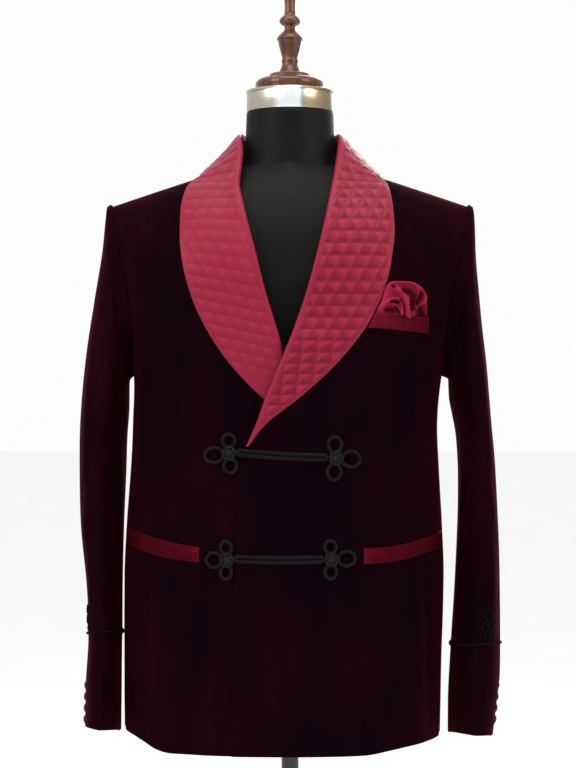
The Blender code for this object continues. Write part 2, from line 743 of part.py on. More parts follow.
def make_welt(name, side, tab, group, material):
    """A strip of satin that lies on the front, made from the front's own points."""
    first, last = tab["x"][0], tab["x"][-1]

    def face(across, up):
        x = blend(first, last, across)
        height = blend(read(tab, "low", x), read(tab, "high", x), up)
        lift = LIE + SATIN_WALL + (overlap_lift(x, height) if side > 0 else 0)
        return front_spot(side * x, height, lift)

    return cloth_wall(name, 9, 2, face, SATIN_WALL, group, material)


def make_pocket_square(group, material):
    """A puff of satin that comes out above the breast welt."""
    low, tall, left, right = 1.2438, 0.0385, 0.1062, 0.1665

    def face(across, up):
        round_top = math.sqrt(max(0.0, 1 - (2 * across - 1) ** 2 * 0.92))
        height = low + tall * up * (0.42 + 0.58 * round_top)
        beside_lapel = left + 0.42 * (height - low)
        x = blend(beside_lapel, right, across)
        puff = 0.0030 + 0.0120 * math.sqrt(max(0.0, math.sin(math.pi * min(max(across, 0.03), 0.97))))
        puff *= 0.35 + 0.65 * math.sin(math.pi * min(0.12 + 0.80 * up, 1.0))
        folds = 0.0022 * math.sin(9.0 * across + 3.2 * up) + 0.0014 * math.sin(17.0 * across - 4.0 * up)
        return front_spot(x, height, LIE + max(puff + folds, 0.0026))

    bm = bmesh.new()
    bmesh.ops.create_grid(bm, x_segments=12, y_segments=6, size=0.5)
    raised = bmesh.ops.extrude_face_region(bm, geom=bm.faces[:], use_keep_orig=True)
    outer = {part for part in raised["geom"] if isinstance(part, bmesh.types.BMVert)}
    for corner in bm.verts:
        spot, out = face(corner.co.x + 0.5, corner.co.y + 0.5)
        if corner not in outer:
            spot, _ = front_spot(spot.x, spot.z, LIE)
        corner.co = spot
    return make_object("pocket_square", bm, group, material)


# Frogs, braid and buttons


def face_frame(spot, out):
    """A matrix whose Z points out of the cloth, at a spot."""
    across = Vector((0, 0, 1)).cross(out).normalized()
    up = out.cross(across)
    frame = Matrix((across, up, out)).transposed().to_4x4()
    frame.translation = spot
    return frame


def cloth_lift(x, height):
    """How far the topmost cloth stands off the jacket's surface on the front."""
    on_left_front = x > read(FRONT_EDGE_LEFT, "x", height)
    return overlap_lift(x, height) if on_left_front else 0.0


def make_loop(knot, lie, x, height, size, group, material):
    """A loop of cord that lies on the front, drawn out towards its knot until it goes under it."""
    lift = cloth_lift(x, height) + lie + CORD / 2
    away = Vector((x - knot[0], height - knot[1]))
    far = away.length + size / 2
    near = KNOT_RADIUS - CORD
    stretch = (far - near) / size
    away.normalize()
    bpy.ops.mesh.primitive_torus_add(
        major_segments=12, minor_segments=6, major_radius=(size - CORD) / 2, minor_radius=CORD / 2)
    loop = bpy.context.object
    for corner in loop.data.vertices:
        out_from_knot = (far + near) / 2 + corner.co.x * stretch
        aside = corner.co.y
        flat_x = knot[0] + away.x * out_from_knot - away.y * aside
        flat_height = knot[1] + away.y * out_from_knot + away.x * aside
        corner.co, _ = front_spot(flat_x, flat_height, lift + corner.co.z)
    loop.data.materials.append(material)
    return into_group(loop, group)


def make_knot(x, height, lie, group, material):
    """A low round knot of wound cord."""
    bm = bmesh.new()
    bmesh.ops.create_uvsphere(bm, u_segments=10, v_segments=5, radius=KNOT_RADIUS)
    spot, out = front_spot(x, height, cloth_lift(x, height) + lie + KNOT_RADIUS * KNOT_FLATNESS)
    frame = face_frame(spot, out)
    for corner in bm.verts:
        corner.co = frame @ Vector((corner.co.x, corner.co.y, corner.co.z * KNOT_FLATNESS))
    return make_object("knot", bm, group, material)


def make_frog(name, group, material):
    lie = FROG_LIE[name]
    knot = make_knot(*FROG_KNOTS[name], lie, group, material)
    loops = [make_loop(FROG_KNOTS[name], lie, *loop, group, material) for loop in FROG_LOOPS[name]]
    return join_solids(name, [knot, *loops])


def tube(name, points, radius, cyclic, group, material):
    """A cord along points, as a closed mesh."""
    curve = bpy.data.curves.new(name, "CURVE")
    curve.dimensions = "3D"
    curve.bevel_depth = radius
    curve.bevel_resolution = 1
    curve.use_fill_caps = True
    line = curve.splines.new("POLY")
    line.points.add(len(points) - 1)
    for point, place in zip(line.points, points):
        point.co = (*place, 1)
    line.use_cyclic_u = cyclic
    guide = bpy.data.objects.new(name + "_line", curve)
    group.objects.link(guide)
    mesh = bpy.data.meshes.new_from_object(guide.evaluated_get(bpy.context.evaluated_depsgraph_get()))
    bpy.data.objects.remove(guide)
    bm = bmesh.new()
    bm.from_mesh(mesh)
    bmesh.ops.remove_doubles(bm, verts=bm.verts, dist=0.00002)
    return make_object(name, bm, group, material)


def make_bar(name, group, material):
    """The long loop of doubled cord that holds the fronts together."""
    start_x, start_z, end_x, end_z = FROG_BARS[name]
    radius = (BAR_WIDTH - CORD) / 2
    flat = []
    for centre, first in ((end_x - radius, -1), (start_x + radius, 1)):
        for i in range(5):
            angle = first * QUARTER + math.pi * i / 4
            flat.append((centre + radius * math.cos(angle), radius * math.sin(angle)))
        other = start_x + radius if first < 0 else end_x - radius
        for i in range(1, 6):
            flat.append((blend(centre, other, i / 6), radius if first < 0 else -radius))
    points = []
    for x, across in flat:
        height = blend(start_z, end_z, (x - start_x) / (end_x - start_x)) + across
        lift = max(cloth_lift(x + LAP_WAY, height), OVER_LAP) + FROG_LIE[name] + CORD / 2
        points.append(front_spot(x, height, lift)[0])
    return tube(name, points, CORD / 2, True, group, material)


def make_cuff_braid(side, group, material):
    """A ring of braid round a sleeve, with a small trefoil on its outer side."""
    share, tilt = CUFF_BRAID_SHARE, 0.012 if side > 0 else 0.003
    points = []
    for i in range(32):
        angle = math.tau * i / 32
        here = share + tilt * math.sin(angle)
        lift = BRAID / 2 + 2.2 * LIE
        points.append(sleeve_point(side, angle, here) + sleeve_out(side, angle, here) * lift)
    name = f"cuff_braid_{'left' if side > 0 else 'right'}"
    ring = tube(name, points, BRAID / 2, True, group, material)
    loops = [ring]
    for turn, rise in ((0.0, 0.0150), (-0.19, 0.0085), (0.19, 0.0085)):
        angle = CUFF_TREFOIL_ANGLE + turn
        loops.append(cuff_loop(side, angle, rise, share + tilt * math.sin(angle), group, material))
    return join_solids(name, loops)


def cuff_loop(side, angle, rise, share, group, material):
    """A small loop of braid on a sleeve above the ring."""
    radius, width = 0.0042, 0.0030
    centre = sleeve_point(side, angle, share)
    out = sleeve_out(side, angle, share)
    frame = face_frame(centre + out * (1.8 * LIE + BRAID / 2) + Vector((0, 0, rise - 0.004)), out)
    bpy.ops.mesh.primitive_torus_add(major_segments=9, minor_segments=4, major_radius=radius,
                                     minor_radius=width / 2)
    loop = bpy.context.object
    loop.data.transform(frame)
    loop.data.materials.append(material)
    return into_group(loop, group)


def make_cuff_button(side, number, group, material):
    """A round button that sits on the back of the sleeve's outer side."""
    height = BUTTON_LOWEST + number * BUTTON_PITCH
    share = 0.9
    for _ in range(40):
        share += (sleeve_point(side, BUTTON_ANGLE, share).z - height) * 0.9
    out = sleeve_out(side, BUTTON_ANGLE, share)
    spot = sleeve_point(side, BUTTON_ANGLE, share) + out * LIE
    bm = bmesh.new()
    bmesh.ops.create_cone(bm, cap_ends=True, segments=12, radius1=BUTTON_RADIUS, radius2=BUTTON_RADIUS * 0.72,
                          depth=BUTTON_RISE)
    bmesh.ops.transform(bm, matrix=face_frame(spot + out * BUTTON_RISE / 2, out), verts=bm.verts)
    name = f"cuff_button_{'left' if side > 0 else 'right'}_{number + 1}"
    return make_object(name, bm, group, material)


# Dress form


def form_point(turn, level):
    rise = math.sin(max(level - 1, 0) * QUARTER)
    height = blend(FORM_BOTTOM, CHEST_HEIGHT, min(level, 1))
    half = read(FORM, "half", height) * (1 + 0.16 * rise)
    depth = read(FORM, "front" if math.sin(turn) > 0 else "back", height)
    x = read(FORM, "centre", height) + half * signed_power(math.cos(turn), 2 / ROUNDNESS)
    y = -depth * signed_power(math.sin(turn), 2 / ROUNDNESS)
    if level > 1:
        end = 8.0 * max(abs(x) - 0.165, 0) ** 2
        y *= math.cos((level - 1) * QUARTER)
        hollow = 0.0035 * ramp(y, 0.0, 0.012)
        height = blend(CHEST_HEIGHT, ridge_height(x) - FORM_DROP - hollow - end, rise)
    return Vector((x, y, height))


def make_form(group, material):
    """The torso, closed along the ridge of the shoulders, with a round neck."""
    bm = bmesh.new()
    bmesh.ops.create_grid(bm, x_segments=28, y_segments=14, size=0.5)
    for corner in bm.verts:
        level = 2 * (corner.co.y + 0.5)
        turn = math.tau * (corner.co.x + 0.5)
        corner.co = form_point(turn, level)
        if level > 1.999:
            corner.co.y = 0
    bmesh.ops.remove_doubles(bm, verts=bm.verts, dist=0.00001)
    bmesh.ops.holes_fill(bm, edges=[edge for edge in bm.edges if edge.is_boundary], sides=0)
    torso = make_object("form_torso", bm, group, material)
    outline = [(1.380, 0.0590), (1.425, 0.0572), (NECK_TOP, 0.0560)]
    neck = turned("neck", outline, (0, NECK_CENTRE_Y, 0), group, material)
    return join_solids("form_torso", [torso, neck])


def turned(name, outline, place, group, material, sides=24):
    """A turned solid: an outline of heights and radii, spun with a Screw modifier."""
    low, high = outline[0][0], outline[-1][0]
    profile = [(0.0, high)] + [(radius, height) for height, radius in reversed(outline)] + [(0.0, low)]
    mesh = bpy.data.meshes.new(name)
    mesh.from_pydata([(x, 0, z) for x, z in profile], [(i, i + 1) for i in range(len(profile) - 1)], [])
    piece = bpy.data.objects.new(name, mesh)
    group.objects.link(piece)
    spin = piece.modifiers.new("spin", "SCREW")
    spin.steps = sides
    spin.render_steps = sides
    spin.use_merge_vertices = True
    spin.merge_threshold = 0.00001
    spin.use_smooth_shade = True
    piece.location = place
    mesh.materials.append(material)
    return piece


FINIAL = [
    (1.5330, 0.0400), (1.5345, 0.0448), (1.5400, 0.0450), (1.5460, 0.0435), (1.5475, 0.0268),
    (1.5530, 0.0262), (1.5545, 0.0145), (1.5600, 0.0122), (1.5665, 0.0104), (1.5680, 0.0112),
    (1.5725, 0.0114), (1.5738, 0.0106), (1.5780, 0.0112), (1.5860, 0.0150), (1.5950, 0.0172),
    (1.6010, 0.0166), (1.6060, 0.0118), (1.6110, 0.0080), (1.6145, 0.0072), (1.6160, 0.0128),
    (1.6230, 0.0138), (1.6275, 0.0110), (1.6310, 0.0066), (1.6480, 0.0062), (1.6530, 0.0080),
    (1.6580, 0.0092), (1.6630, 0.0080), (1.6665, 0.0040),
]


def make_stand(group, wood, silver, iron):
    low, high = NECK_TOP + 0.0003, NECK_TOP + RING_HEIGHT - 0.0004
    turned("neck_ring", [
        (low, RING_RADIUS - 0.0015), (low + 0.002, RING_RADIUS),
        (high - 0.002, RING_RADIUS), (high, RING_RADIUS - 0.0020),
    ], (0, NECK_CENTRE_Y, 0), group, silver)
    turned("neck_finial", FINIAL, (0, NECK_CENTRE_Y, 0), group, wood, sides=16)
    turned("stand_pole", [(0.0283, POLE_RADIUS), (FORM_BOTTOM - 0.0003, POLE_RADIUS)], (0, 0, 0), group, iron,
           sides=16)
    turned("stand_base", [
        (0.0, BASE_RADIUS), (0.010, BASE_RADIUS), (0.014, BASE_RADIUS - 0.006), (0.020, 0.080),
        (0.0280, 0.022),
    ], (0, 0, 0), group, iron, sides=32)


def main():
    for old in list(bpy.data.objects):
        bpy.data.objects.remove(old)
    group = make_group(OBJECT_NAME)
    velvet = make_material("burgundy_velvet", (0.020, 0.003, 0.006), 0.9)
    satin = make_material("quilted_crimson_satin", (0.36, 0.02, 0.06), 0.35)
    plain_satin = make_material("crimson_satin", (0.16, 0.005, 0.02), 0.35)
    cord = make_material("black_cord", (0.02, 0.02, 0.02), 0.7)
    black_cloth = make_material("black_form_cloth", (0.01, 0.01, 0.01), 0.8)
    wood = make_material("turned_wood", (0.16, 0.03, 0.015), 0.25)
    silver = make_material("brushed_silver", (0.75, 0.73, 0.70), 0.25, 1.0)
    iron = make_material("black_iron", (0.02, 0.02, 0.02), 0.45, 0.6)

    make_form(group, black_cloth)
    make_stand(group, wood, silver, iron)
    for side in (1, -1):
        panels = [make_front(side, group, velvet), make_back(side, group, velvet)]
        make_side(side, group, velvet)
        make_sleeve(side, "top", group, velvet)
        make_sleeve(side, "under", group, velvet)
        make_collar(side, panels, group, satin)
        make_cuff_braid(side, group, cord)
        for number in range(4):
            make_cuff_button(side, number, group, cord)
    make_collar_stand(group, satin)
    make_welt("breast_welt", 1, BREAST_WELT, group, plain_satin)
    make_welt("hip_welt_left", 1, HIP_WELT_LEFT, group, plain_satin)
    make_welt("hip_welt_right", -1, HIP_WELT_RIGHT, group, plain_satin)
    make_pocket_square(group, plain_satin)
    for name in FROG_LOOPS:
        make_frog(name, group, cord)
    for name in FROG_BARS:
        make_bar(name, group, cord)


main()
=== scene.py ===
# %% [markdown]
# # A velvet smoking jacket on a dress form
# The jacket is burgundy velvet, with a quilted satin shawl collar, cord frogs and satin welts, and it
# hangs on a padded form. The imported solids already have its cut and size. Here each piece of cloth is
# made again as a fine, thin sheet over its solid, because folds, nap and quilting need many more points.

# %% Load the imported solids
import math

import bmesh
import bpy
import numpy as np
from mathutils import Matrix, Vector


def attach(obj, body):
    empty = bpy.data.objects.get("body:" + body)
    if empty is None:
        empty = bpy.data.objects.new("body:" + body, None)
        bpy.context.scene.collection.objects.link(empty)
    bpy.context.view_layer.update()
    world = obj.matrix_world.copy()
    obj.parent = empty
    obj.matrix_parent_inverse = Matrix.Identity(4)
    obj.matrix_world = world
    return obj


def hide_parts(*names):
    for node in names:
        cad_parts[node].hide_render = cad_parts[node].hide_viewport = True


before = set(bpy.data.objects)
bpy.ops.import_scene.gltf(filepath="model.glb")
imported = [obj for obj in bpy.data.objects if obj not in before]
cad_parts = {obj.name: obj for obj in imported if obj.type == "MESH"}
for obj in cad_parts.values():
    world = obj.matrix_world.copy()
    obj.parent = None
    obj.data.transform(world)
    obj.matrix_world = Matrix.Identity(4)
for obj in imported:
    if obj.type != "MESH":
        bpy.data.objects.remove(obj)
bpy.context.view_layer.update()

# %% [markdown]
# ## The camera
# A product photo is taken from far off with a long lens, level with the middle of the coat, so that the
# sleeves and the fronts keep their proportions. A lens of about 88 mm from 2.4 m does that.

# %% Set the camera
CAMERA_PLACE = (-0.0026, -2.4, 1.1563)
LENS = 87.9

scene = bpy.context.scene
camera = bpy.data.objects.new("camera", bpy.data.cameras.new("camera"))
camera.location = CAMERA_PLACE
camera.rotation_euler = (math.pi / 2, 0, 0)
camera.data.lens = LENS
camera.data.clip_end = 60
scene.collection.objects.link(camera)
scene.camera = camera
print("camera at", CAMERA_PLACE, "lens", LENS)

# %% [markdown]
# ## Studio light and floor
# Velvet is dark where it is seen straight on and light where it turns away, so it is lit by large soft
# boxes from the sides and above, and a pale room fills the rest. A small hard lamp would only show dots.

# %% Hang the soft boxes and lay the floor
SOFT_BOXES = [
    # name, place, aim, size, watts
    ("box_left", (-2.3, -1.9, 2.3), (0.0, 0.0, 1.15), 1.5, 56.0),
    ("box_right", (2.4, -1.7, 2.2), (0.0, 0.0, 1.10), 1.4, 44.0),
    ("box_above", (0.0, -0.7, 3.3), (0.0, 0.0, 1.25), 1.6, 46.0),
    ("box_behind", (0.9, 2.6, 2.4), (0.0, 0.0, 1.20), 1.6, 40.0),
]
ROOM = (1.0, 1.0, 1.0)
ROOM_STRENGTH = 0.98
FLOOR_SIZE, FLOOR_DROP = 60.0, 0.0006


def hang_soft_box(name, place, aim, size, watts):
    lamp = bpy.data.lights.new(name, "AREA")
    lamp.shape = "SQUARE"
    lamp.size = size
    lamp.energy = watts
    box = bpy.data.objects.new(name, lamp)
    box.location = place
    box.rotation_euler = (Vector(aim) - Vector(place)).to_track_quat("-Z", "Y").to_euler()
    scene.collection.objects.link(box)


for row in SOFT_BOXES:
    hang_soft_box(*row)
scene.world = bpy.data.worlds.new("pale_room")
scene.world.use_nodes = True
room_light = scene.world.node_tree.nodes["Background"]
room_light.inputs["Color"].default_value = (*ROOM, 1)
room_light.inputs["Strength"].default_value = ROOM_STRENGTH
scene.view_settings.view_transform = "Standard"
print("soft boxes:", len(SOFT_BOXES))

# %% [markdown]
# ## Finishes
# Every finish below is made of shader nodes that work from the object's own coordinates, in metres, so
# a thread or a brush mark has its true size on every piece. These helpers only save typing.


# %% Helpers for finishes
def new_finish(name, colour, roughness, **sockets):
    """A Principled finish with plain values; its tree and shader are given back too."""
    finish = bpy.data.materials.new(name)
    finish.use_nodes = True
    tree = finish.node_tree
    shader = tree.nodes["Principled BSDF"]
    shader.inputs["Base Color"].default_value = (*colour, 1)
    shader.inputs["Roughness"].default_value = roughness
    for socket, value in sockets.items():
        shader.inputs[socket.replace("_", " ")].default_value = value
    return finish, tree, shader


def place_nodes(tree, scale=(1, 1, 1)):
    """The object's coordinates, stretched."""
    where = tree.nodes.new("ShaderNodeTexCoord")
    stretch = tree.nodes.new("ShaderNodeMapping")
    stretch.inputs["Scale"].default_value = scale
    tree.links.new(where.outputs["Object"], stretch.inputs["Vector"])
    return stretch.outputs["Vector"]


def noise_node(tree, where, scale, detail=2.0):
    noise = tree.nodes.new("ShaderNodeTexNoise")
    noise.inputs["Scale"].default_value = scale
    noise.inputs["Detail"].default_value = detail
    tree.links.new(where, noise.inputs["Vector"])
    return noise.outputs["Fac"]


def x_node(tree):
    """The object's X coordinate."""
    apart = tree.nodes.new("ShaderNodeSeparateXYZ")
    tree.links.new(place_nodes(tree), apart.inputs["Vector"])
    return apart.outputs["X"]


def math_node(tree, operation, *values):
    """A Math node; each value is a number or another node's output."""
    node = tree.nodes.new("ShaderNodeMath")
    node.operation = operation
    for socket, value in zip(node.inputs, values):
        if isinstance(value, float):
            socket.default_value = value
        else:
            tree.links.new(value, socket)
    return node.outputs["Value"]


def colour_by(tree, shader, factor, stops):
    """Colour a finish by a ramp: stops are (position, colour)."""
    ramp_node = tree.nodes.new("ShaderNodeValToRGB")
    points = ramp_node.color_ramp.elements
    while len(points) < len(stops):
        points.new(0.5)
    for point, (position, colour) in zip(points, stops):
        point.position = position
        point.color = (*colour, 1)
    tree.links.new(factor, ramp_node.inputs["Fac"])
    tree.links.new(ramp_node.outputs["Color"], shader.inputs["Base Color"])


def raise_threads(tree, shader, height, distance, strength=1.0, below=None):
    """Bump from a height of 0 to 1, so many metres tall."""
    bump = tree.nodes.new("ShaderNodeBump")
    bump.inputs["Distance"].default_value = distance
    bump.inputs["Strength"].default_value = strength
    tree.links.new(height, bump.inputs["Height"])
    if below is not None:
        tree.links.new(below, bump.inputs["Normal"])
    tree.links.new(bump.outputs["Normal"], shader.inputs["Normal"])
    return bump.outputs["Normal"]


def speckled_finish(name, colour, roughness, grain, dark, light, bump, strength, threads=None, **sockets):
    """A finish that fine noise colours from dark to light. The noise gives its bump, or threads do."""
    finish, tree, shader = new_finish(name, colour, roughness, **sockets)
    height = shade = noise_node(tree, place_nodes(tree), grain)
    colour_by(tree, shader, shade, [(0.3, dark), (0.7, light)])
    if threads:
        height = noise_node(tree, place_nodes(tree, threads), 1.0, 1.0)
    raise_threads(tree, shader, height, bump, strength)
    return finish


floor_finish, floor_tree, floor_shader = new_finish("pale_floor", (0.93, 0.93, 0.93), 0.75)
colour_by(floor_tree, floor_shader, noise_node(floor_tree, place_nodes(floor_tree), 3.0),
          [(0.3, (0.925, 0.925, 0.925)), (0.7, (0.945, 0.945, 0.945))])
floor_bm = bmesh.new()
bmesh.ops.create_grid(floor_bm, x_segments=8, y_segments=8, size=FLOOR_SIZE / 2)
floor_mesh = bpy.data.meshes.new("floor")
floor_bm.to_mesh(floor_mesh)
floor_bm.free()
floor_mesh.materials.append(floor_finish)
floor = bpy.data.objects.new("floor", floor_mesh)
floor.location.z = -FLOOR_DROP
scene.collection.objects.link(floor)
print("floor laid")

# %% [markdown]
# ## Velvet
# Velvet is a short upright pile. Seen straight on, light goes down between the tufts and the cloth is
# almost black; seen along the surface, the tips catch light. The sheen of the shader is that second
# light. Slow noise, drawn out along the grain, is the nap brushed this way and that, and fine noise is
# the pile itself. The colour also holds a painted sheen: it is painted darker down the middle of the body
# and lighter towards its sides and on the sleeves, where the cloth turns away and catches the lamps.

# %% Make the velvet
# The lightest stop serves both the brushed nap and the painted sheen at the sides and on the sleeves.
VELVET_DEEP = (0.0030, 0.00050, 0.0019)
VELVET_MIDDLE = (0.0052, 0.00052, 0.0017)
VELVET_BRUSHED_AND_SHEEN = (0.0105, 0.00075, 0.0021)

velvet, velvet_tree, velvet_shader = new_finish(
    "burgundy_velvet", VELVET_MIDDLE, 0.90, Specular_IOR_Level=0.01, Sheen_Weight=0.095,
    Sheen_Roughness=0.36, Sheen_Tint=(0.50, 0.020, 0.060, 1))
nap_noise = noise_node(velvet_tree, place_nodes(velvet_tree, (11, 11, 3.2)), 1.6, 4.0)
# Painted sheen: the colour is made lighter with distance from the middle of the body, out to its sides and
# the sleeves.
painted_side_sheen = velvet_tree.nodes.new("ShaderNodeMapRange")
for socket, value in (("From Min", 0.03), ("From Max", 0.20), ("To Min", -0.09), ("To Max", 0.05)):
    painted_side_sheen.inputs[socket].default_value = value
velvet_tree.links.new(math_node(velvet_tree, "ABSOLUTE", x_node(velvet_tree)), painted_side_sheen.inputs["Value"])
colour_by(velvet_tree, velvet_shader, math_node(velvet_tree, "ADD", nap_noise, painted_side_sheen.outputs["Result"]),
          [(0.34, VELVET_DEEP), (0.54, VELVET_MIDDLE), (0.80, VELVET_BRUSHED_AND_SHEEN)])
pile_height = noise_node(velvet_tree, place_nodes(velvet_tree), 1500.0, 1.0)
pile_normal = raise_threads(velvet_tree, velvet_shader, pile_height, 0.0004, 0.55)
brush_marks = noise_node(velvet_tree, place_nodes(velvet_tree, (60, 60, 14)), 1.0, 2.0)
raise_threads(velvet_tree, velvet_shader, brush_marks, 0.0006, 0.30, pile_normal)
print("velvet made")

# %% [markdown]
# ## The cut of the body
# A tailor's body block is a set of rounded sections, one above the other. The table gives each
# section's half width and its depth in front and behind; smooth curves join the rows. Turn goes round
# the body from the wearer's left (0) by the front (a quarter) to the right, and level goes from the hem
# (0) by the chest (1) to the ridge of the shoulders (2). These are the same numbers as the solids have.

# %% Measures of the body
QUARTER = math.pi / 2
HEM_HEIGHT, CHEST_HEIGHT, UNDERARM_HEIGHT = 0.704, 1.275, 1.167
RIDGE_PEAK, RIDGE_FALL, SHOULDER_SPREAD = 1.4575, 0.329, 0.118
ROUNDNESS = 2.5
FRONT_SEAM_SHARE, BACK_SEAM_SHARE, ARMHOLE_SHARE = 0.36, 0.45, 0.50
NECK_HALF, NECK_DEPTH = 0.0645, 0.0740
OVER_FRONT, OVER_LAPEL = 0.0031, 0.0049


def table(columns, rows):
    """Rows of numbers, read by the name of a column."""
    return dict(zip(columns.split(), np.array(rows, float).T))


BODY = table("height half front back centre", [
    (0.704, 0.2015, 0.128, 0.128, -0.0099),
    (0.800, 0.2025, 0.128, 0.123, -0.0092),
    (0.900, 0.2040, 0.128, 0.117, -0.0077),
    (0.980, 0.2010, 0.127, 0.110, -0.0072),
    (1.060, 0.1955, 0.126, 0.103, -0.0065),
    (1.110, 0.1938, 0.127, 0.101, -0.0062),
    (1.165, 0.1960, 0.129, 0.105, -0.0030),
    (1.220, 0.2060, 0.131, 0.113, -0.0010),
    (1.275, 0.2190, 0.131, 0.120, 0.0000),
])


def read(tab, column, at):
    """A column's values where the first column is `at`, on a smooth curve through the rows."""
    keys, values = next(iter(tab.values())), tab[column]
    runs = np.diff(values) / np.diff(keys)
    inner = np.where(runs[:-1] * runs[1:] > 0, (runs[:-1] + runs[1:]) / 2, 0.0)
    slopes = np.concatenate([runs[:1], inner, runs[-1:]])
    at = np.clip(at, keys[0], keys[-1])
    i = np.clip(np.searchsorted(keys, at, side="right") - 1, 0, len(keys) - 2)
    span = keys[i + 1] - keys[i]
    t = (at - keys[i]) / span
    return ((1 + 2 * t) * (1 - t) ** 2 * values[i] + t * t * (3 - 2 * t) * values[i + 1]
            + t * (1 - t) ** 2 * span * slopes[i] - t * t * (1 - t) * span * slopes[i + 1])


def ramp(value, start, end):
    """0 before start, 1 after end, and smooth between."""
    t = np.clip((value - start) / (end - start), 0.0, 1.0)
    return t * t * (3 - 2 * t)


def blend(a, b, share):
    return a + (b - a) * share


def signed_power(value, power):
    return np.sign(value) * np.abs(value) ** power


def unit(vectors):
    return vectors / np.maximum(np.linalg.norm(vectors, axis=-1, keepdims=True), 1e-12)


print("body rows:", len(BODY["height"]))

# %% [markdown]
# ## The outer surface
# One formula gives the whole outside of the coat. Because every panel, pocket and cord is placed with
# it, each of them lies on the cloth without any fitting by hand.


# %% The jacket's surface
def ridge_height(x):
    return RIDGE_PEAK - RIDGE_FALL * np.abs(x)


def block_spot(tab, bottom, spread, turn, level, ridge):
    """A point of a tailor's block: sections up to the chest, and above it a dome up to ridge(x, y)."""
    rise = np.sin(np.maximum(level - 1, 0) * QUARTER)
    height = blend(bottom, CHEST_HEIGHT, np.minimum(level, 1))
    half = read(tab, "half", height) * (1 + spread * rise)
    depth = np.where(np.sin(turn) > 0, read(tab, "front", height), read(tab, "back", height))
    x = read(tab, "centre", height) + half * signed_power(np.cos(turn), 2 / ROUNDNESS)
    y = -depth * signed_power(np.sin(turn), 2 / ROUNDNESS)
    above = level > 1
    y = np.where(above, y * np.cos(np.maximum(level - 1, 0) * QUARTER), y)
    height = np.where(above, blend(CHEST_HEIGHT, ridge(x, y), rise), height)
    return np.stack([x, y, height], axis=-1)


def dome_height(tab, spread, x, y, ridge):
    """The height of a block above the chest, over places seen from above."""
    share = np.minimum(np.abs(x) / (tab["half"][-1] * (1 + spread)), 1)
    depth = np.where(y < 0, tab["front"][-1], tab["back"][-1]) * (1 - share ** ROUNDNESS) ** (1 / ROUNDNESS)
    return blend(CHEST_HEIGHT, ridge, np.sqrt(np.maximum(0, 1 - (y / depth) ** 2)))


def jacket_spot(turn, level):
    return block_spot(BODY, HEM_HEIGHT, SHOULDER_SPREAD, turn, level, lambda x, y: ridge_height(x))


def jacket_out(turn, level, tiny=0.002):
    """The directions straight out of the cloth."""
    level = np.minimum(level, 2 - tiny)
    up = jacket_spot(turn, level + tiny) - jacket_spot(turn, level - tiny)
    round_it = jacket_spot(turn + tiny, level) - jacket_spot(turn - tiny, level)
    return unit(np.cross(up, round_it))


def level_at(x, height):
    rise = np.clip((height - CHEST_HEIGHT) / (ridge_height(x) - CHEST_HEIGHT), 0, 1)
    below = (height - HEM_HEIGHT) / (CHEST_HEIGHT - HEM_HEIGHT)
    return np.where(height <= CHEST_HEIGHT, below, 1 + np.arcsin(rise) / QUARTER)


def turn_at(x, level):
    """Where on the front half an x lies, at a level."""
    height = blend(HEM_HEIGHT, CHEST_HEIGHT, np.minimum(level, 1))
    rise = np.sin(np.maximum(level - 1, 0) * QUARTER)
    half = read(BODY, "half", height) * (1 + SHOULDER_SPREAD * rise)
    share = (x - read(BODY, "centre", height)) / half
    return np.arccos(signed_power(np.clip(share, -1, 1), ROUNDNESS / 2))


def overlap_lift(x, height):
    """How far the left front stands off, where it laps over the right front and its lapel."""
    lap = (1 - ramp(x, 0.078, 0.125)) * (1 - ramp(height, 1.205, 1.260))
    over_lapel = ramp(height, 1.085, 1.118) * (1 - ramp(height, 1.200, 1.245)) * (1 - ramp(x, 0.022, 0.062))
    return OVER_FRONT * lap + OVER_LAPEL * over_lapel


def front_spot(x, height, lift):
    """Points on the front, lifted off the cloth, and the directions straight out."""
    x, height = np.broadcast_arrays(np.asarray(x, float), np.asarray(height, float))
    level = level_at(x, height)
    turn = turn_at(x, level)
    out = jacket_out(turn, level)
    return jacket_spot(turn, level) + out * np.asarray(lift, float)[..., None], out


def side_turn(side, turn):
    return turn if side > 0 else math.pi - turn


def share_turn(share):
    return np.arcsin(share ** (ROUNDNESS / 2))


def armhole_share(height):
    drop = np.maximum((CHEST_HEIGHT - height) / (CHEST_HEIGHT - UNDERARM_HEIGHT), 0)
    return ARMHOLE_SHARE * np.sqrt(np.maximum(0.0, 1 - drop ** 2))


def armhole_height(share):
    drop = np.sqrt(np.maximum(0.0, 1 - (share / ARMHOLE_SHARE) ** 2))
    return CHEST_HEIGHT - (CHEST_HEIGHT - UNDERARM_HEIGHT) * drop


def edge_turn(level, seam_share):
    """The turn of a front's or back's side edge: its side seam, then the armhole above it."""
    height = blend(HEM_HEIGHT, CHEST_HEIGHT, np.minimum(level, 1))
    higher = np.maximum(seam_share, armhole_share(height))
    return share_turn(np.where(height > armhole_height(seam_share), higher, seam_share))


chest = jacket_spot(np.linspace(0, math.tau, 200), np.ones(200))
print("round the chest:", round(float(np.linalg.norm(np.diff(chest, axis=0), axis=1).sum()), 3), "m")

# %% [markdown]
# ## From a formula to a sheet of cloth
# A grid is the simplest cloth. Its points are read as shares across and up the panel, and the panel's
# formula moves them into place. Near the edges the columns stand closer, so the edge can roll under in
# a small round as a turned and pressed edge does. Folds are drawn as soft lines with their own length,
# width and depth, and a Solidify modifier gives the cloth its thickness inwards.

# %% Helpers for cloth
CLOTH = 0.0018
SEAM_ROLL = 0.0006
EDGE_ROLL = 0.0017
FRONT_ROLL = 0.0008
CLOSER_AT_EDGES = 0.72
SIDES = ((1, "left"), (-1, "right"))
made = {}


def turned_under(distance, radius):
    """How far an edge has rolled in, at a distance from it."""
    near = np.clip(1 - distance / radius, 0, 1)
    return radius * (1 - np.sqrt(1 - near ** 2))


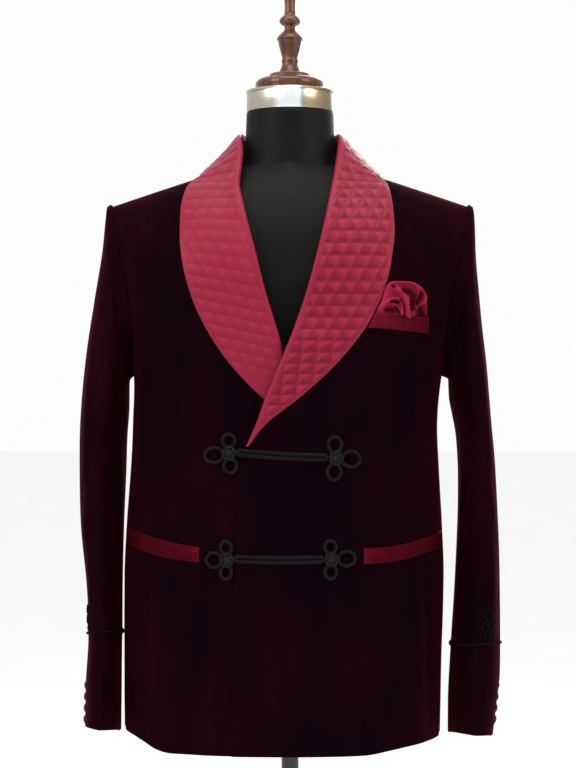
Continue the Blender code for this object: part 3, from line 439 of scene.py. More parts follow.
def fold_lines(along, up, rows):
    """The rise of soft folds: each row is a line from one place to another, its bow, width and rise."""
    rise = np.zeros_like(along)
    for a0, b0, a1, b1, bow, width, depth in rows:
        run = np.array([a1 - a0, b1 - b0])
        length = float(np.hypot(*run))
        way = run / length
        t = ((along - a0) * way[0] + (up - b0) * way[1]) / length
        aside = (along - a0) * -way[1] + (up - b0) * way[0] - bow * np.sin(np.pi * np.clip(t, 0, 1))
        fade = ramp(t, -0.12, 0.22) * (1 - ramp(t, 0.72, 1.12))
        spread = width * (0.75 + 0.5 * np.clip(t, 0, 1))
        rise += depth * np.exp(-(aside / spread) ** 2) * fade
    return rise


def ripple(along, up, size):
    """A slight unevenness that all worn cloth has."""
    return size * (np.sin(31 * along + 9 * up) * np.sin(17 * up - 11 * along + 1.3)
                   + 0.5 * np.sin(63 * along - 23 * up + 0.7) * np.sin(41 * up + 2.1))


def ways_out(shape, across, up, inside, tiny=0.0015):
    """Directions straight out of a sheet, on the side away from an upright line at `inside`."""
    over = shape(np.minimum(across + tiny, 1), up) - shape(np.maximum(across - tiny, 0), up)
    rise = shape(across, np.minimum(up + tiny, 1)) - shape(across, np.maximum(up - tiny, 0))
    out = unit(np.cross(over, rise))
    spots = shape(across, up)
    heart = np.stack([np.full(len(spots), inside[0]), np.full(len(spots), inside[1]),
                      np.minimum(spots[:, 2], CHEST_HEIGHT)], axis=1)
    return spots, out * np.sign(np.sum(out * (spots - heart)))


def cloth_piece(name, columns, rows, shape, finish, relief=None, thick=CLOTH,
                roll=(SEAM_ROLL, SEAM_ROLL, EDGE_ROLL, 0), marks=None, inside=(0.0, 0.0)):
    """A sheet from shape(across, up) in place of the solid of its name. relief(spots, across, up) is its
    rise in metres, and roll the radius of its left, right, lower and upper edges. marks(across, up)
    gives named numbers to colour by."""
    bm = bmesh.new()
    bm.loops.layers.uv.new("cloth")
    bmesh.ops.create_grid(bm, x_segments=columns, y_segments=rows, size=0.5, calc_uvs=True)
    mesh = bpy.data.meshes.new(name)
    bm.to_mesh(mesh)
    bm.free()
    grid = np.empty(len(mesh.vertices) * 3)
    mesh.vertices.foreach_get("co", grid)
    across, up = (share - CLOSER_AT_EDGES * np.sin(math.tau * share) / math.tau
                  for share in (grid.reshape(-1, 3)[:, :2] + 0.5).T)
    spots, out = ways_out(shape, across, up, inside)
    height = np.zeros(len(spots)) if relief is None else relief(spots, across, up)
    zero, one = np.zeros_like(across), np.ones_like(across)
    edges = (shape(zero, up), shape(one, up), shape(across, zero), shape(across, one))
    for edge, radius in zip(edges, roll):
        if radius:
            height = height - turned_under(np.linalg.norm(spots - edge, axis=1), radius)
    spots = spots + out * height[:, None]
    mesh.vertices.foreach_set("co", spots.ravel())
    mesh.update()
    middle = mesh.polygons[len(mesh.polygons) // 2]
    if middle.normal.dot(Vector(out[middle.vertices[0]])) < 0:
        mesh.flip_normals()
    mesh.shade_smooth()
    mesh.materials.append(finish)
    for mark, values in (marks(across, up) if marks else {}).items():
        mesh.attributes.new(mark, "FLOAT", "POINT").data.foreach_set("value", values.astype(np.float32))
    return set_piece(name, mesh, name, thick)


def set_piece(name, mesh, replaced, thick=0.0):
    """An object from a mesh, riding on the coat, with a thickness inwards if it is cloth."""
    piece = bpy.data.objects.new(name, mesh)
    scene.collection.objects.link(piece)
    if thick:
        wall = piece.modifiers.new("cloth_thickness", "SOLIDIFY")
        wall.thickness = thick
        wall.offset = -1
    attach(piece, "root")
    if replaced:
        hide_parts(*([replaced] if isinstance(replaced, str) else replaced))
    made[name] = piece
    return piece


print("cloth", CLOTH * 1000, "mm thick")

# %% [markdown]
# ## Fronts
# Each front runs from its side seam to its front edge and, above that, to the roll line of the lapel.
# The left front laps over the right. The skirt hangs in soft upright flutes from the hips, which are
# longest near the side seams, and the waist has a few short drag lines from the fastenings.

# %% Cut and hang the fronts
ROLL_LEFT = table("height x", [
    (1.0774, -0.0548), (1.1017, -0.0438), (1.1357, -0.0317), (1.1684, -0.0183), (1.2035, -0.0038),
    (1.2604, 0.0168), (1.3262, 0.0350), (1.3913, 0.0495), (1.4272, 0.0560), (1.4500, 0.0600),
])
ROLL_RIGHT = table("height x", [
    (1.1100, 0.0060), (1.1450, -0.0040), (1.1962, -0.0087), (1.2398, -0.0208), (1.2749, -0.0316),
    (1.3066, -0.0390), (1.3424, -0.0488), (1.3916, -0.0600), (1.4216, -0.0640), (1.4500, -0.0640),
])
FRONT_EDGE_LEFT = table("height x", [
    (0.700, -0.0712), (0.835, -0.0698), (0.970, -0.0636), (1.050, -0.0618), (1.0774, -0.0548),
])
FRONT_EDGE_RIGHT = table("height x", [(0.700, 0.062), (0.950, 0.060), (1.070, 0.052), (1.110, 0.006)])
ROWS_BELOW_CHEST = 0.7

# Folds: from x, height to x, height, then bow, width and rise, all in metres
FRONT_FOLDS = [
    (0.146, 0.965, 0.158, 0.640, 0.004, 0.0150, 0.0024),
    (0.168, 0.930, 0.184, 0.650, 0.003, 0.0110, -0.0022),
    (0.118, 0.860, 0.121, 0.640, -0.003, 0.0140, -0.0013),
    (0.092, 0.915, 0.098, 0.730, 0.002, 0.0100, 0.0008),
    (0.160, 1.185, 0.173, 1.010, 0.006, 0.0120, -0.0017),
    (0.140, 1.120, 0.108, 1.010, 0.004, 0.0100, -0.0009),
    (0.080, 1.055, 0.150, 1.012, 0.004, 0.0080, 0.0008),
    (0.076, 0.930, 0.140, 0.885, 0.004, 0.0090, -0.0008),
    (0.172, 1.330, 0.178, 1.215, 0.003, 0.0100, -0.0012),
    (0.176, 0.955, 0.182, 0.680, 0.002, 0.0045, 0.0014),
    (0.167, 0.945, 0.171, 0.690, 0.001, 0.0050, -0.0012),
    (0.131, 0.905, 0.136, 0.720, 0.002, 0.0055, 0.0009),
    (0.181, 1.160, 0.184, 0.975, 0.002, 0.0045, 0.0011),
]
RIGHT_SHIFT = 0.006


def row_level(up):
    return np.where(up < ROWS_BELOW_CHEST, up / ROWS_BELOW_CHEST,
                    1 + (up - ROWS_BELOW_CHEST) / (1 - ROWS_BELOW_CHEST))


def front_edge_x(side, height):
    """Where a front ends: its front edge, then the roll line of its lapel."""
    if side > 0:
        return np.where(height < 1.0774, read(FRONT_EDGE_LEFT, "x", height), read(ROLL_LEFT, "x", height))
    return np.where(height < 1.110, read(FRONT_EDGE_RIGHT, "x", height), read(ROLL_RIGHT, "x", height))


def with_hem(spots):
    """The hem is a little shorter at the sides than in front, more so on the wearer's right."""
    x, height = spots[:, 0], spots[:, 2]
    rise = np.where(x > 0, 0.0085 * ramp(x, 0.09, 0.17), 0.0165 * ramp(-x, 0.145, 0.212))
    return spots + (rise * (1 - ramp(height, HEM_HEIGHT, 0.84)))[:, None] * np.array([0, 0, 1.0])


def front_shape(side):
    def shape(across, up):
        level = row_level(up)
        height = blend(HEM_HEIGHT, CHEST_HEIGHT, np.minimum(level, 1))
        for _ in range(8):
            edge = front_edge_x(side, height)
            shoulder = blend(CHEST_HEIGHT, ridge_height(edge), np.sin(np.maximum(level - 1, 0) * QUARTER))
            height = np.where(level > 1, shoulder, height)
        front = side_turn(side, turn_at(edge, level))
        turn = side_turn(side, blend(edge_turn(level, FRONT_SEAM_SHARE), front, across))
        spots = jacket_spot(turn, level)
        if side > 0:
            spots = spots + jacket_out(turn, level) * overlap_lift(spots[:, 0], spots[:, 2])[:, None]
        return with_hem(spots)
    return shape


def front_relief(side):
    shift = 0.0 if side > 0 else RIGHT_SHIFT

    def relief(spots, across, up):
        along = side * spots[:, 0] - shift
        low = 1 - ramp(spots[:, 2], 1.30, 1.42)
        calm = ramp(along, 0.062, 0.095) if side > 0 else ramp(along, 0.055, 0.090)
        return (fold_lines(along, spots[:, 2] - 0.8 * shift, FRONT_FOLDS) * calm
                + ripple(spots[:, 0], spots[:, 2], 0.00028) * low)
    return relief


for side, word in SIDES:
    name = "front_" + word
    cloth_piece(name, 90, 150, front_shape(side), velvet, front_relief(side),
                roll=(SEAM_ROLL, FRONT_ROLL, EDGE_ROLL, 0))
    print(name, "reaches", round(float(front_edge_x(side, np.array([0.8]))[0]), 4), "past the middle")

# %% [markdown]
# ## Side bodies and backs
# A side body is a narrow panel under the arm, and two backs meet in a centre seam. The same folds go on
# through them: the skirt flutes, a break above the waist, and a slight drag under the collar.

# %% Cut and hang the sides and backs
SIDE_FOLDS = [
    (0.020, 0.960, 0.024, 0.640, 0.003, 0.0120, 0.0020),
    (-0.020, 0.900, -0.026, 0.640, 0.002, 0.0110, -0.0018),
    (0.004, 1.100, 0.000, 1.000, 0.004, 0.0110, -0.0014),
]
BACK_FOLDS = [
    (0.060, 0.980, 0.066, 0.630, 0.003, 0.0170, 0.0026),
    (0.100, 0.940, 0.112, 0.640, -0.003, 0.0140, -0.0024),
    (0.138, 0.960, 0.152, 0.640, 0.002, 0.0140, 0.0020),
    (0.024, 0.900, 0.026, 0.640, 0.002, 0.0120, -0.0014),
    (0.110, 1.200, 0.150, 1.060, 0.008, 0.0120, -0.0022),
    (0.135, 1.270, 0.158, 1.120, 0.006, 0.0120, 0.0018),
    (0.020, 1.070, 0.120, 1.045, 0.004, 0.0090, -0.0014),
    (0.030, 1.040, 0.110, 1.020, 0.003, 0.0080, 0.0011),
    (0.012, 1.392, 0.070, 1.380, 0.004, 0.0080, -0.0012),
]
CENTRE_BACK_SHARE = 1.6


def side_shape(side):
    low, high = -share_turn(BACK_SEAM_SHARE), share_turn(FRONT_SEAM_SHARE)

    def shape(across, up):
        turn = blend(low, high, across)
        share = np.sin(np.abs(turn)) ** (2 / ROUNDNESS)
        height = blend(HEM_HEIGHT, armhole_height(share), up)
        level = (height - HEM_HEIGHT) / (CHEST_HEIGHT - HEM_HEIGHT)
        return with_hem(jacket_spot(side_turn(side, turn), level))
    return shape


def neck_level(x):
    """The level of the back's top edge: the neck hole is an oval seen from above."""
    oval = NECK_DEPTH * np.sqrt(1 - np.minimum(np.abs(x) / NECK_HALF, 1) ** 2)
    return 1 + np.arccos(oval / BODY["back"][-1]) / QUARTER


def back_shape(side):
    def shape(across, up):
        level = row_level(up)
        turn = blend(-edge_turn(level, BACK_SEAM_SHARE), -QUARTER, 1 - (1 - across) ** CENTRE_BACK_SHARE)
        top = blend(1, neck_level(jacket_spot(turn, np.full_like(turn, 2.0))[:, 0]), level - 1)
        return with_hem(jacket_spot(side_turn(side, turn), np.where(level > 1, top, level)))
    return shape


def side_relief(spots, across, up):
    return fold_lines(spots[:, 1], spots[:, 2], SIDE_FOLDS) + ripple(spots[:, 1], spots[:, 2], 0.00028)


def back_relief(side):
    shift = 0.0 if side > 0 else RIGHT_SHIFT

    def relief(spots, across, up):
        along = side * spots[:, 0] - shift
        return (fold_lines(along, spots[:, 2] - shift, BACK_FOLDS)
                + ripple(spots[:, 0] + 0.3, spots[:, 2], 0.00035))
    return relief


for side, word in SIDES:
    cloth_piece("side_" + word, 32, 100, side_shape(side), velvet, side_relief)
    cloth_piece("back_" + word, 72, 130, back_shape(side), velvet, back_relief(side))
print("body panels:", len(made))

# %% [markdown]
# ## Sleeves
# A coat sleeve is a top sleeve and an under sleeve, both slanted rings that follow the arm. The head is
# eased into the armhole over a roll of wadding, so it stands up a little just outside the seam. Inside
# the elbow the cloth breaks into short diagonal creases, and long soft ones run down the forearm.

# %% Cut and hang the sleeves
SLEEVE_LEFT = table("outer_x outer_z inner_x inner_z middle_y depth", [
    (0.2265, 1.3830, 0.2010, 1.1670, 0.0000, 0.0640),
    (0.2320, 1.3835, 0.2030, 1.1600, 0.0000, 0.0655),
    (0.2350, 1.3680, 0.2035, 1.1520, 0.0000, 0.0675),
    (0.2370, 1.3150, 0.2040, 1.1440, 0.0005, 0.0710),
    (0.2435, 1.2430, 0.2050, 1.1330, 0.0015, 0.0755),
    (0.2505, 1.1850, 0.2085, 1.1166, 0.0030, 0.0780),
    (0.2570, 1.1150, 0.2135, 1.0880, 0.0040, 0.0760),
    (0.2625, 1.0500, 0.2160, 1.0400, 0.0040, 0.0730),
    (0.2665, 0.9700, 0.2145, 0.9700, 0.0010, 0.0695),
    (0.2668, 0.8930, 0.2100, 0.8890, -0.0060, 0.0665),
    (0.2655, 0.8110, 0.2045, 0.8200, -0.0150, 0.0635),
    (0.2620, 0.7600, 0.2010, 0.7650, -0.0200, 0.0620),
    (0.2560, 0.7060, 0.2000, 0.7147, -0.0250, 0.0610),
])
SLEEVE_RIGHT = table("outer_x outer_z inner_x inner_z middle_y depth", [
    (0.2265, 1.3830, 0.2010, 1.1670, 0.0000, 0.0640),
    (0.2325, 1.3835, 0.2052, 1.1600, 0.0000, 0.0655),
    (0.2350, 1.3680, 0.2062, 1.1520, 0.0000, 0.0675),
    (0.2395, 1.3240, 0.2064, 1.1440, 0.0005, 0.0710),
    (0.2490, 1.2650, 0.2064, 1.1330, 0.0015, 0.0755),
    (0.2595, 1.2000, 0.2070, 1.1150, 0.0030, 0.0780),
    (0.2680, 1.1200, 0.2092, 1.0850, 0.0040, 0.0760),
    (0.2695, 1.0500, 0.2108, 1.0310, 0.0040, 0.0730),
    (0.2675, 0.9700, 0.2135, 0.9600, 0.0010, 0.0695),
    (0.2585, 0.8950, 0.2145, 0.8910, -0.0060, 0.0665),
    (0.2555, 0.8300, 0.2142, 0.8300, -0.0150, 0.0635),
    (0.2580, 0.7700, 0.2142, 0.7700, -0.0200, 0.0620),
    (0.2588, 0.7170, 0.2142, 0.7170, -0.0250, 0.0610),
])
SLEEVE_BACK_SEAM, SLEEVE_FRONT_SEAM = -0.42, math.pi + 0.30
SLEEVE_GIRTH = 0.056  # metres round the sleeve for each radian
HEAD_ROLL = 0.0022
HEAD_TUCK, HEAD_UNDER, HEAD_TUCK_END = 0.0045, 0.0032, 0.018
CUFF_CUT_FRONT, CUFF_CUT_OUTER, CUFF_CUT_START = 0.0115, 0.0040, 0.84
SLEEVE_HEART = (0.232, -0.008)  # an upright line inside the left sleeve: x and y

# Folds on a sleeve: along is metres round it from the outer line towards the front, then as above
SLEEVE_FOLDS = [
    (0.052, 1.240, 0.060, 0.830, 0.006, 0.0110, 0.0019),
    (0.030, 1.170, 0.026, 0.790, -0.005, 0.0130, -0.0022),
    (0.082, 1.085, 0.040, 1.015, 0.003, 0.0080, -0.0021),
    (0.090, 1.050, 0.050, 0.985, 0.003, 0.0070, 0.0015),
    (0.084, 1.005, 0.046, 0.945, -0.003, 0.0080, -0.0017),
    (0.078, 0.940, 0.050, 0.900, 0.002, 0.0080, 0.0011),
    (-0.010, 1.300, -0.014, 1.060, 0.005, 0.0120, -0.0017),
    (-0.040, 1.230, -0.050, 0.880, 0.006, 0.0150, 0.0020),
    (-0.070, 1.150, -0.058, 1.020, 0.006, 0.0110, -0.0020),
    (-0.020, 1.010, -0.064, 0.960, 0.004, 0.0100, -0.0014),
    (0.006, 0.960, 0.010, 0.730, 0.004, 0.0110, 0.0013),
    (0.128, 1.040, 0.150, 0.960, 0.004, 0.0090, -0.0016),
    (0.150, 1.100, 0.160, 0.860, 0.004, 0.0120, 0.0015),
    (0.060, 1.330, 0.072, 1.240, 0.004, 0.0100, -0.0014),
]


def down_the_sleeve(tab, column, share):
    return read({"row": np.arange(len(tab[column]), dtype=float), "value": tab[column]}, "value",
                share * (len(tab[column]) - 1))


def armhole_spot(side, angle):
    share = ARMHOLE_SHARE * np.abs(np.cos(angle))
    low = np.sin(angle) < 0
    height = CHEST_HEIGHT + (CHEST_HEIGHT - UNDERARM_HEIGHT) * np.sin(angle)
    below = (height - HEM_HEIGHT) / (CHEST_HEIGHT - HEM_HEIGHT)
    level = np.where(low, below, 1 + np.abs(np.arcsin(np.clip(np.sin(angle), 0, 1))) / QUARTER)
    turn = share_turn(np.where(low, share, ARMHOLE_SHARE)) * np.sign(-np.cos(angle))
    return jacket_spot(side_turn(side, turn), level)


def sleeve_spot(side, angle, share):
    """Angle: a quarter is the outer side, minus a quarter the inner, 0 the back and a half turn the front."""
    tab = SLEEVE_LEFT if side > 0 else SLEEVE_RIGHT
    middle = down_the_sleeve(tab, "middle_y", share)
    outer, inner = (
        np.stack([side * down_the_sleeve(tab, line + "_x", share), middle,
                  down_the_sleeve(tab, line + "_z", share)], axis=-1) for line in ("outer", "inner"))
    spots = (outer + inner) / 2 + (outer - inner) / 2 * np.sin(angle)[:, None]
    spots[:, 1] += down_the_sleeve(tab, "depth", share) * np.cos(angle)
    start = 1 - ramp(share, 0.0, 0.06)
    seat = armhole_spot(side, angle) + np.array([side * 0.0010, 0, 0])
    away = unit(np.stack([np.zeros_like(angle), seat[:, 1], seat[:, 2] - CHEST_HEIGHT], axis=-1))
    return blend(spots, seat + away * 0.0012, start[:, None])


def sleeve_shape(side, low, high):
    """The cuff is cut at a slant, higher at the front, and the head is tucked into the armhole."""
    def shape(across, up):
        angle, share = blend(low, high, across), (1 - up) ** 1.25
        cut = (CUFF_CUT_FRONT * np.maximum(-np.cos(angle), 0) ** 0.8
               + CUFF_CUT_OUTER * np.maximum(np.sin(angle), 0))
        rise = cut * ramp(share, CUFF_CUT_START, 1.0)
        spots = sleeve_spot(side, angle, share) + rise[:, None] * np.array([0, 0, 1.0])
        away = unit((spots - [0, 0, CHEST_HEIGHT]) * [0, 1, 1])
        tuck = (1 - ramp(share, 0.0, HEAD_TUCK_END))[:, None]
        return spots - tuck * (HEAD_TUCK * np.array([side, 0, 0]) + HEAD_UNDER * away)
    return shape


def sleeve_relief(side, low, high):
    def relief(spots, across, up):
        angle, share = blend(low, high, across), (1 - up) ** 1.25
        along = (angle - QUARTER) * SLEEVE_GIRTH + (0 if side > 0 else 0.004)
        height = spots[:, 2] + (0 if side > 0 else 0.018)
        head = HEAD_ROLL * np.exp(-((share - 0.040) / 0.020) ** 2) * ramp(np.sin(angle), -0.2, 0.5)
        calm = ramp(share, 0.05, 0.16) * (1 - ramp(share, 0.86, 0.97))
        return head + (fold_lines(along, height, SLEEVE_FOLDS)
                       + ripple(along, spots[:, 2], 0.0003)) * calm
    return relief


for side, word in SIDES:
    for part, columns, low, high in (("top", 90, SLEEVE_BACK_SEAM, SLEEVE_FRONT_SEAM),
                                     ("under", 50, SLEEVE_FRONT_SEAM, SLEEVE_BACK_SEAM + math.tau)):
        name = f"sleeve_{word}_{part}"
        cloth_piece(name, columns, 130, sleeve_shape(side, low, high), velvet,
                    sleeve_relief(side, low, high), inside=(side * SLEEVE_HEART[0], SLEEVE_HEART[1]))
print("velvet pieces:", len(made))

# %% [markdown]
# ## Satin
# Satin is woven so that long threads lie on top of the cloth, which makes it shine along its puffs and
# go dark where it turns away. Each point of the quilting carries a number, so that one colour ramp can
# paint shade into the stitched furrows and into every second triangle, whose wide lower side turns away
# from the lamps above, and paint light onto the triangles between. On the welts and the pocket square a
# number paints their sheen and the shade in their hollows. Fine lines are the threads.

# %% Make the satins
# Lit and shaded tones of one satin: the furrow and dark stops are painted shade, the light and bright stops
# painted light.
SATIN_FURROW_SHADE = (0.054, 0.0016, 0.0058)
SATIN_DARK = (0.096, 0.0032, 0.0105)
SATIN_LIGHT = (0.168, 0.0080, 0.0215)
SATIN_BRIGHT = (0.215, 0.0125, 0.0310)


def satin(name, colour, shine, sheen, mark, stops):
    """Satin coloured by a number at each point, which paints its light and shade, with fine long threads and
    dents of a hand's width.
    """
    finish, tree, shader = new_finish(
        name, colour, 0.42, Specular_IOR_Level=shine, Sheen_Weight=sheen, Sheen_Roughness=0.30,
        Sheen_Tint=(1.0, 0.30, 0.42, 1), Specular_Tint=(1.0, 0.42, 0.52, 1))
    number = tree.nodes.new("ShaderNodeAttribute")
    number.attribute_name = mark
    colour_by(tree, shader, number.outputs["Fac"], stops)
    threads = noise_node(tree, place_nodes(tree, (260, 260, 2600)), 1.0, 1.0)
    below = raise_threads(tree, shader, threads, 0.0002, 0.35)
    raise_threads(tree, shader, noise_node(tree, place_nodes(tree), 90.0), 0.0012, 0.25, below)
    return finish


quilted_satin = satin("quilted_crimson_satin", SATIN_LIGHT, 0.22, 0.06, "cell_light", [
    (0.0, SATIN_FURROW_SHADE), (0.30, SATIN_DARK), (0.70, SATIN_LIGHT), (1.0, SATIN_BRIGHT)])
# The plain satin's ramp runs from painted shade to painted sheen; each point's number sets where it lies on
# it.
plain_satin = satin("plain_crimson_satin", (0.034, 0.0009, 0.0032), 0.03, 0.01, "satin_light", [
    (0.0, (0.018, 0.0002, 0.0012)), (0.35, (0.036, 0.0006, 0.0028)),
    (0.72, (0.115, 0.0042, 0.0140)), (1.0, (0.210, 0.0120, 0.0310))])
print("satins made")

# %% [markdown]
# ## The shawl collar
# A shawl collar is one long strip on each side: lapel and collar in one, folded along the roll line and
# joined at the centre back. Its surface is read by how far along it and how far from the fold a point
# is, so the quilting can be drawn in the same two numbers, just as it is marked on the strip with chalk.

# %% The collar's surface
CLEAR = 0.0009
SATIN_HEIGHT = 0.0026
ROLL_HEIGHT, ROLL_WIDTH = 0.0030, 0.014
LAPEL_START, LAPEL_LIFT = 0.0022, 0.0018
EDGE_LEFT = table("height x", [
    (1.0774, -0.0530), (1.1054, -0.0317), (1.1381, 0.0095), (1.1805, 0.0556), (1.2243, 0.0909),
    (1.2633, 0.1117), (1.3123, 0.1240), (1.3500, 0.1278), (1.3857, 0.1251), (1.4028, 0.1213),
])
EDGE_RIGHT = table("height x", [
    (1.1250, -0.0170), (1.1454, -0.0402), (1.1866, -0.0778), (1.2353, -0.1084), (1.2610, -0.1194),
    (1.3076, -0.1319), (1.3450, -0.1350), (1.3793, -0.1339), (1.3946, -0.1311), (1.4064, -0.1257),
])
NECK_ROWS = table("fold_x fold_y fold_z edge_x edge_y", [
    (0.0600, -0.0380, 1.4500, 0.1150, -0.0330),
    (0.0630, -0.0120, 1.4700, 0.1130, 0.0080),
    (0.0645, 0.0150, 1.4780, 0.1010, 0.0480),
    (0.0600, 0.0430, 1.4800, 0.0740, 0.0790),
    (0.0420, 0.0670, 1.4800, 0.0460, 0.0920),
    (0.0210, 0.0765, 1.4795, 0.0230, 0.0960),
    (0.0000, 0.0795, 1.4790, 0.0000, 0.0975),
])


def off_the_cloth(spots, lift):
    """Points moved out from the middle of the body until they are `lift` off the jacket's surface."""
    x, y, z = spots.T
    height, rise = np.minimum(z, CHEST_HEIGHT), np.maximum(z - CHEST_HEIGHT, 0)
    top = ridge_height(x) - CHEST_HEIGHT
    half = read(BODY, "half", height) * (1 + SHOULDER_SPREAD * np.minimum(rise / top, 1))
    depth = np.where(y < 0, read(BODY, "front", height), read(BODY, "back", height))
    share = np.minimum(np.abs(x - read(BODY, "centre", height)) / half, 1)
    depth = depth * (1 - share ** ROUNDNESS) ** (1 / ROUNDNESS)
    reach = np.hypot(y, rise)
    surface = reach / np.hypot(y / depth, rise / top)
    scale = np.maximum((surface + lift) / reach, 1)
    return np.stack([x, y * scale, np.where(rise > 0, CHEST_HEIGHT + rise * scale, z)], axis=-1)


def over_shoulder(x, y):
    """Points of the jacket's surface above the chest that lie over places seen from above."""
    return np.stack([x, y, dome_height(BODY, SHOULDER_SPREAD, x, y, ridge_height(x))], axis=-1)


def collar_curve(side):
    """The fold and the outer edge of a collar half, by how far along it they are."""
    roll, edge = (ROLL_LEFT, EDGE_LEFT) if side > 0 else (ROLL_RIGHT, EDGE_RIGHT)
    height = np.linspace(edge["height"][0] + LAPEL_START, 1.404, 12)
    edge_x = read(edge, "x", height)
    tilt = 0.0 if side > 0 else 0.22
    drop = tilt * (1 - ramp(height, 1.26, 1.38)) * np.abs(edge_x - read(roll, "x", height - 0.01))
    fold_height = np.maximum(height - drop, roll["height"][0])
    fold, _ = front_spot(read(roll, "x", fold_height), fold_height, CLEAR)
    outer, _ = front_spot(edge_x, height, CLEAR)
    neck = NECK_ROWS
    fold = np.vstack([fold, np.stack([side * neck["fold_x"], neck["fold_y"], neck["fold_z"]], axis=-1)])
    seat = off_the_cloth(over_shoulder(side * neck["edge_x"], neck["edge_y"]), CLEAR)
    outer = np.vstack([outer, seat])
    run = np.concatenate([[0], np.cumsum(np.linalg.norm(np.diff((fold + outer) / 2, axis=0), axis=1))])
    curve = {"run": run}
    for number, axis in enumerate("xyz"):
        curve["fold_" + axis], curve["edge_" + axis] = fold[:, number], outer[:, number]
    return curve


def collar_ends(curve, run):
    return (np.stack([read(curve, end + axis, run) for axis in "xyz"], axis=-1) for end in ("fold_", "edge_"))


def collar_spot(side, curve, run, far):
    fold, edge = collar_ends(curve, run)
    width = np.linalg.norm(edge - fold, axis=1)
    spots = fold + (edge - fold) * (far / width)[:, None]
    shows = 1.0 if side > 0 else ramp(spots[:, 2], 1.185, 1.225)
    lift = CLEAR + ROLL_HEIGHT * np.exp(-(far / ROLL_WIDTH) ** 2) * ramp(width, 0.006, 0.04) * shows
    if side > 0:
        lift = lift + overlap_lift(spots[:, 0], spots[:, 2]) + LAPEL_LIFT * (1 - ramp(run, 0.0, 0.03))
    return off_the_cloth(spots, lift)


collar_curves = {side: collar_curve(side) for side in (1, -1)}
print("collar halves:", [round(float(curve["run"][-1]), 3) for curve in collar_curves.values()], "m")

# %% [markdown]
# ## Quilting
# The satin is stitched to wadding in rows 16 mm apart and along two slanting lines, which leaves small
# triangles. A triangle is highest in its middle and lowest on its stitching, so its rise is worked out
# from the distance to the nearest of the three kinds of line. Near the roll and the edge it is plain.

# %% Quilt and fold the collar
QUILT_SIDE, QUILT_ROW = 0.0183, 0.0158
PUFF = {1: 0.0012, -1: 0.0007}
DIAGONALS = {1: 1.0, -1: 0.72}
ROW_FURROW_SHADE = {1: 0.80, -1: 0.62}
PLAIN_FOLD, PLAIN_EDGE = (0.004, 0.009), (0.003, 0.0075)
ROLL_ROUND, EDGE_ROUND = 0.0046, 0.0022
BEHIND = (0.55, 0.75)  # shares of a half's length over which its quilting evens out towards the back
COLLAR_COLUMNS, COLLAR_ROWS = 80, 400
STITCH_WIDTH = 0.0011


def quilt(side, curve, across, up):
    """Distance to the nearest stitching and row, 1 on up-pointing triangles, height in a row, how quilted."""
    length = curve["run"][-1]
    run = up * length
    fold, edge = collar_ends(curve, run)
    width = np.linalg.norm(edge - fold, axis=1)
    far = across * width
    start = blend(np.abs(fold[:, 0]), 0.060, ramp(up, 0.58, 0.66))
    u = (far + start) / QUILT_SIDE
    v = up * round(length / QUILT_ROW)
    leaning, other = u + v / 2, u - v / 2
    rows, first, second = (np.abs(line - np.round(line)) * QUILT_ROW for line in (v, leaning, other))
    near = np.minimum.reduce([rows, first, second])
    upright = (np.floor(leaning) - np.floor(other) == np.floor(v)).astype(float)
    quilted = ramp(far, *PLAIN_FOLD) * ramp(width - far, *PLAIN_EDGE)
    if side < 0:
        quilted = quilted * ramp(edge[:, 2], 1.150, 1.200)
    return near, rows, upright, v - np.floor(v), quilted


def collar_shape(side, curve):
    def shape(across, up):
        run = np.clip(up, 0.002, 1) * curve["run"][-1]
        fold, edge = collar_ends(curve, run)
        return collar_spot(side, curve, run, across * np.linalg.norm(edge - fold, axis=1))
    return shape


def collar_relief(side, curve):
    def relief(spots, across, up):
        near, rows, _, _, quilted = quilt(side, curve, across, up)
        behind = ramp(up, *BEHIND)
        near = blend(rows, near, blend(DIAGONALS[side], 1, behind))
        dome = 1 - (1 - np.minimum(near / (QUILT_ROW / 3), 1)) ** 2
        fold, edge = collar_ends(curve, np.clip(up, 0.002, 1) * curve["run"][-1])
        width = np.linalg.norm(edge - fold, axis=1)
        rolled = (turned_under(across * width, np.minimum(ROLL_ROUND, 0.35 * width))
                  + turned_under((1 - across) * width, np.minimum(EDGE_ROUND, 0.30 * width)))
        soft = ripple(spots[:, 0], spots[:, 2], 0.0003) * ramp(width, 0.01, 0.03)
        return (SATIN_HEIGHT * ramp(width, 0.0, 0.006)
                + blend(PUFF[side], PUFF[1], behind) * dome * quilted + soft - rolled)
    return relief


def collar_marks(side, curve):
    def marks(across, up):
        behind = ramp(up, *BEHIND)
        # Painted shade and light: each up-pointing triangle is painted dark, darkest at its wide lower side;
        # each down-pointing one is painted lighter towards its top; the stitched furrows get painted shade.
        # On the right half the painted shade is weaker towards the front.
        shade_strength = 1.0 if side > 0 else blend(0.25, 1.0, behind)
        near, rows, upright, in_row, quilted = quilt(side, curve, across, up)
        light = 0.74 - shade_strength * upright * (0.46 - 0.30 * in_row) + 0.10 * (1 - upright) * in_row
        furrow = np.maximum(0.45 * blend(DIAGONALS[side], 1, behind) * np.exp(-(near / STITCH_WIDTH) ** 2),
                            blend(ROW_FURROW_SHADE[side], 0.80, behind) * np.exp(-(rows / STITCH_WIDTH) ** 2))
        light = blend(light, 0.36, furrow)
        return {"cell_light": blend(0.66, light, quilted)}
    return marks


for side, word in SIDES:
    curve = collar_curves[side]
    cloth_piece("collar_" + word, COLLAR_COLUMNS, COLLAR_ROWS, collar_shape(side, curve), quilted_satin,
                collar_relief(side, curve), thick=0.0020,
                roll=(0, 0, 0, 0.0006), marks=collar_marks(side, curve))


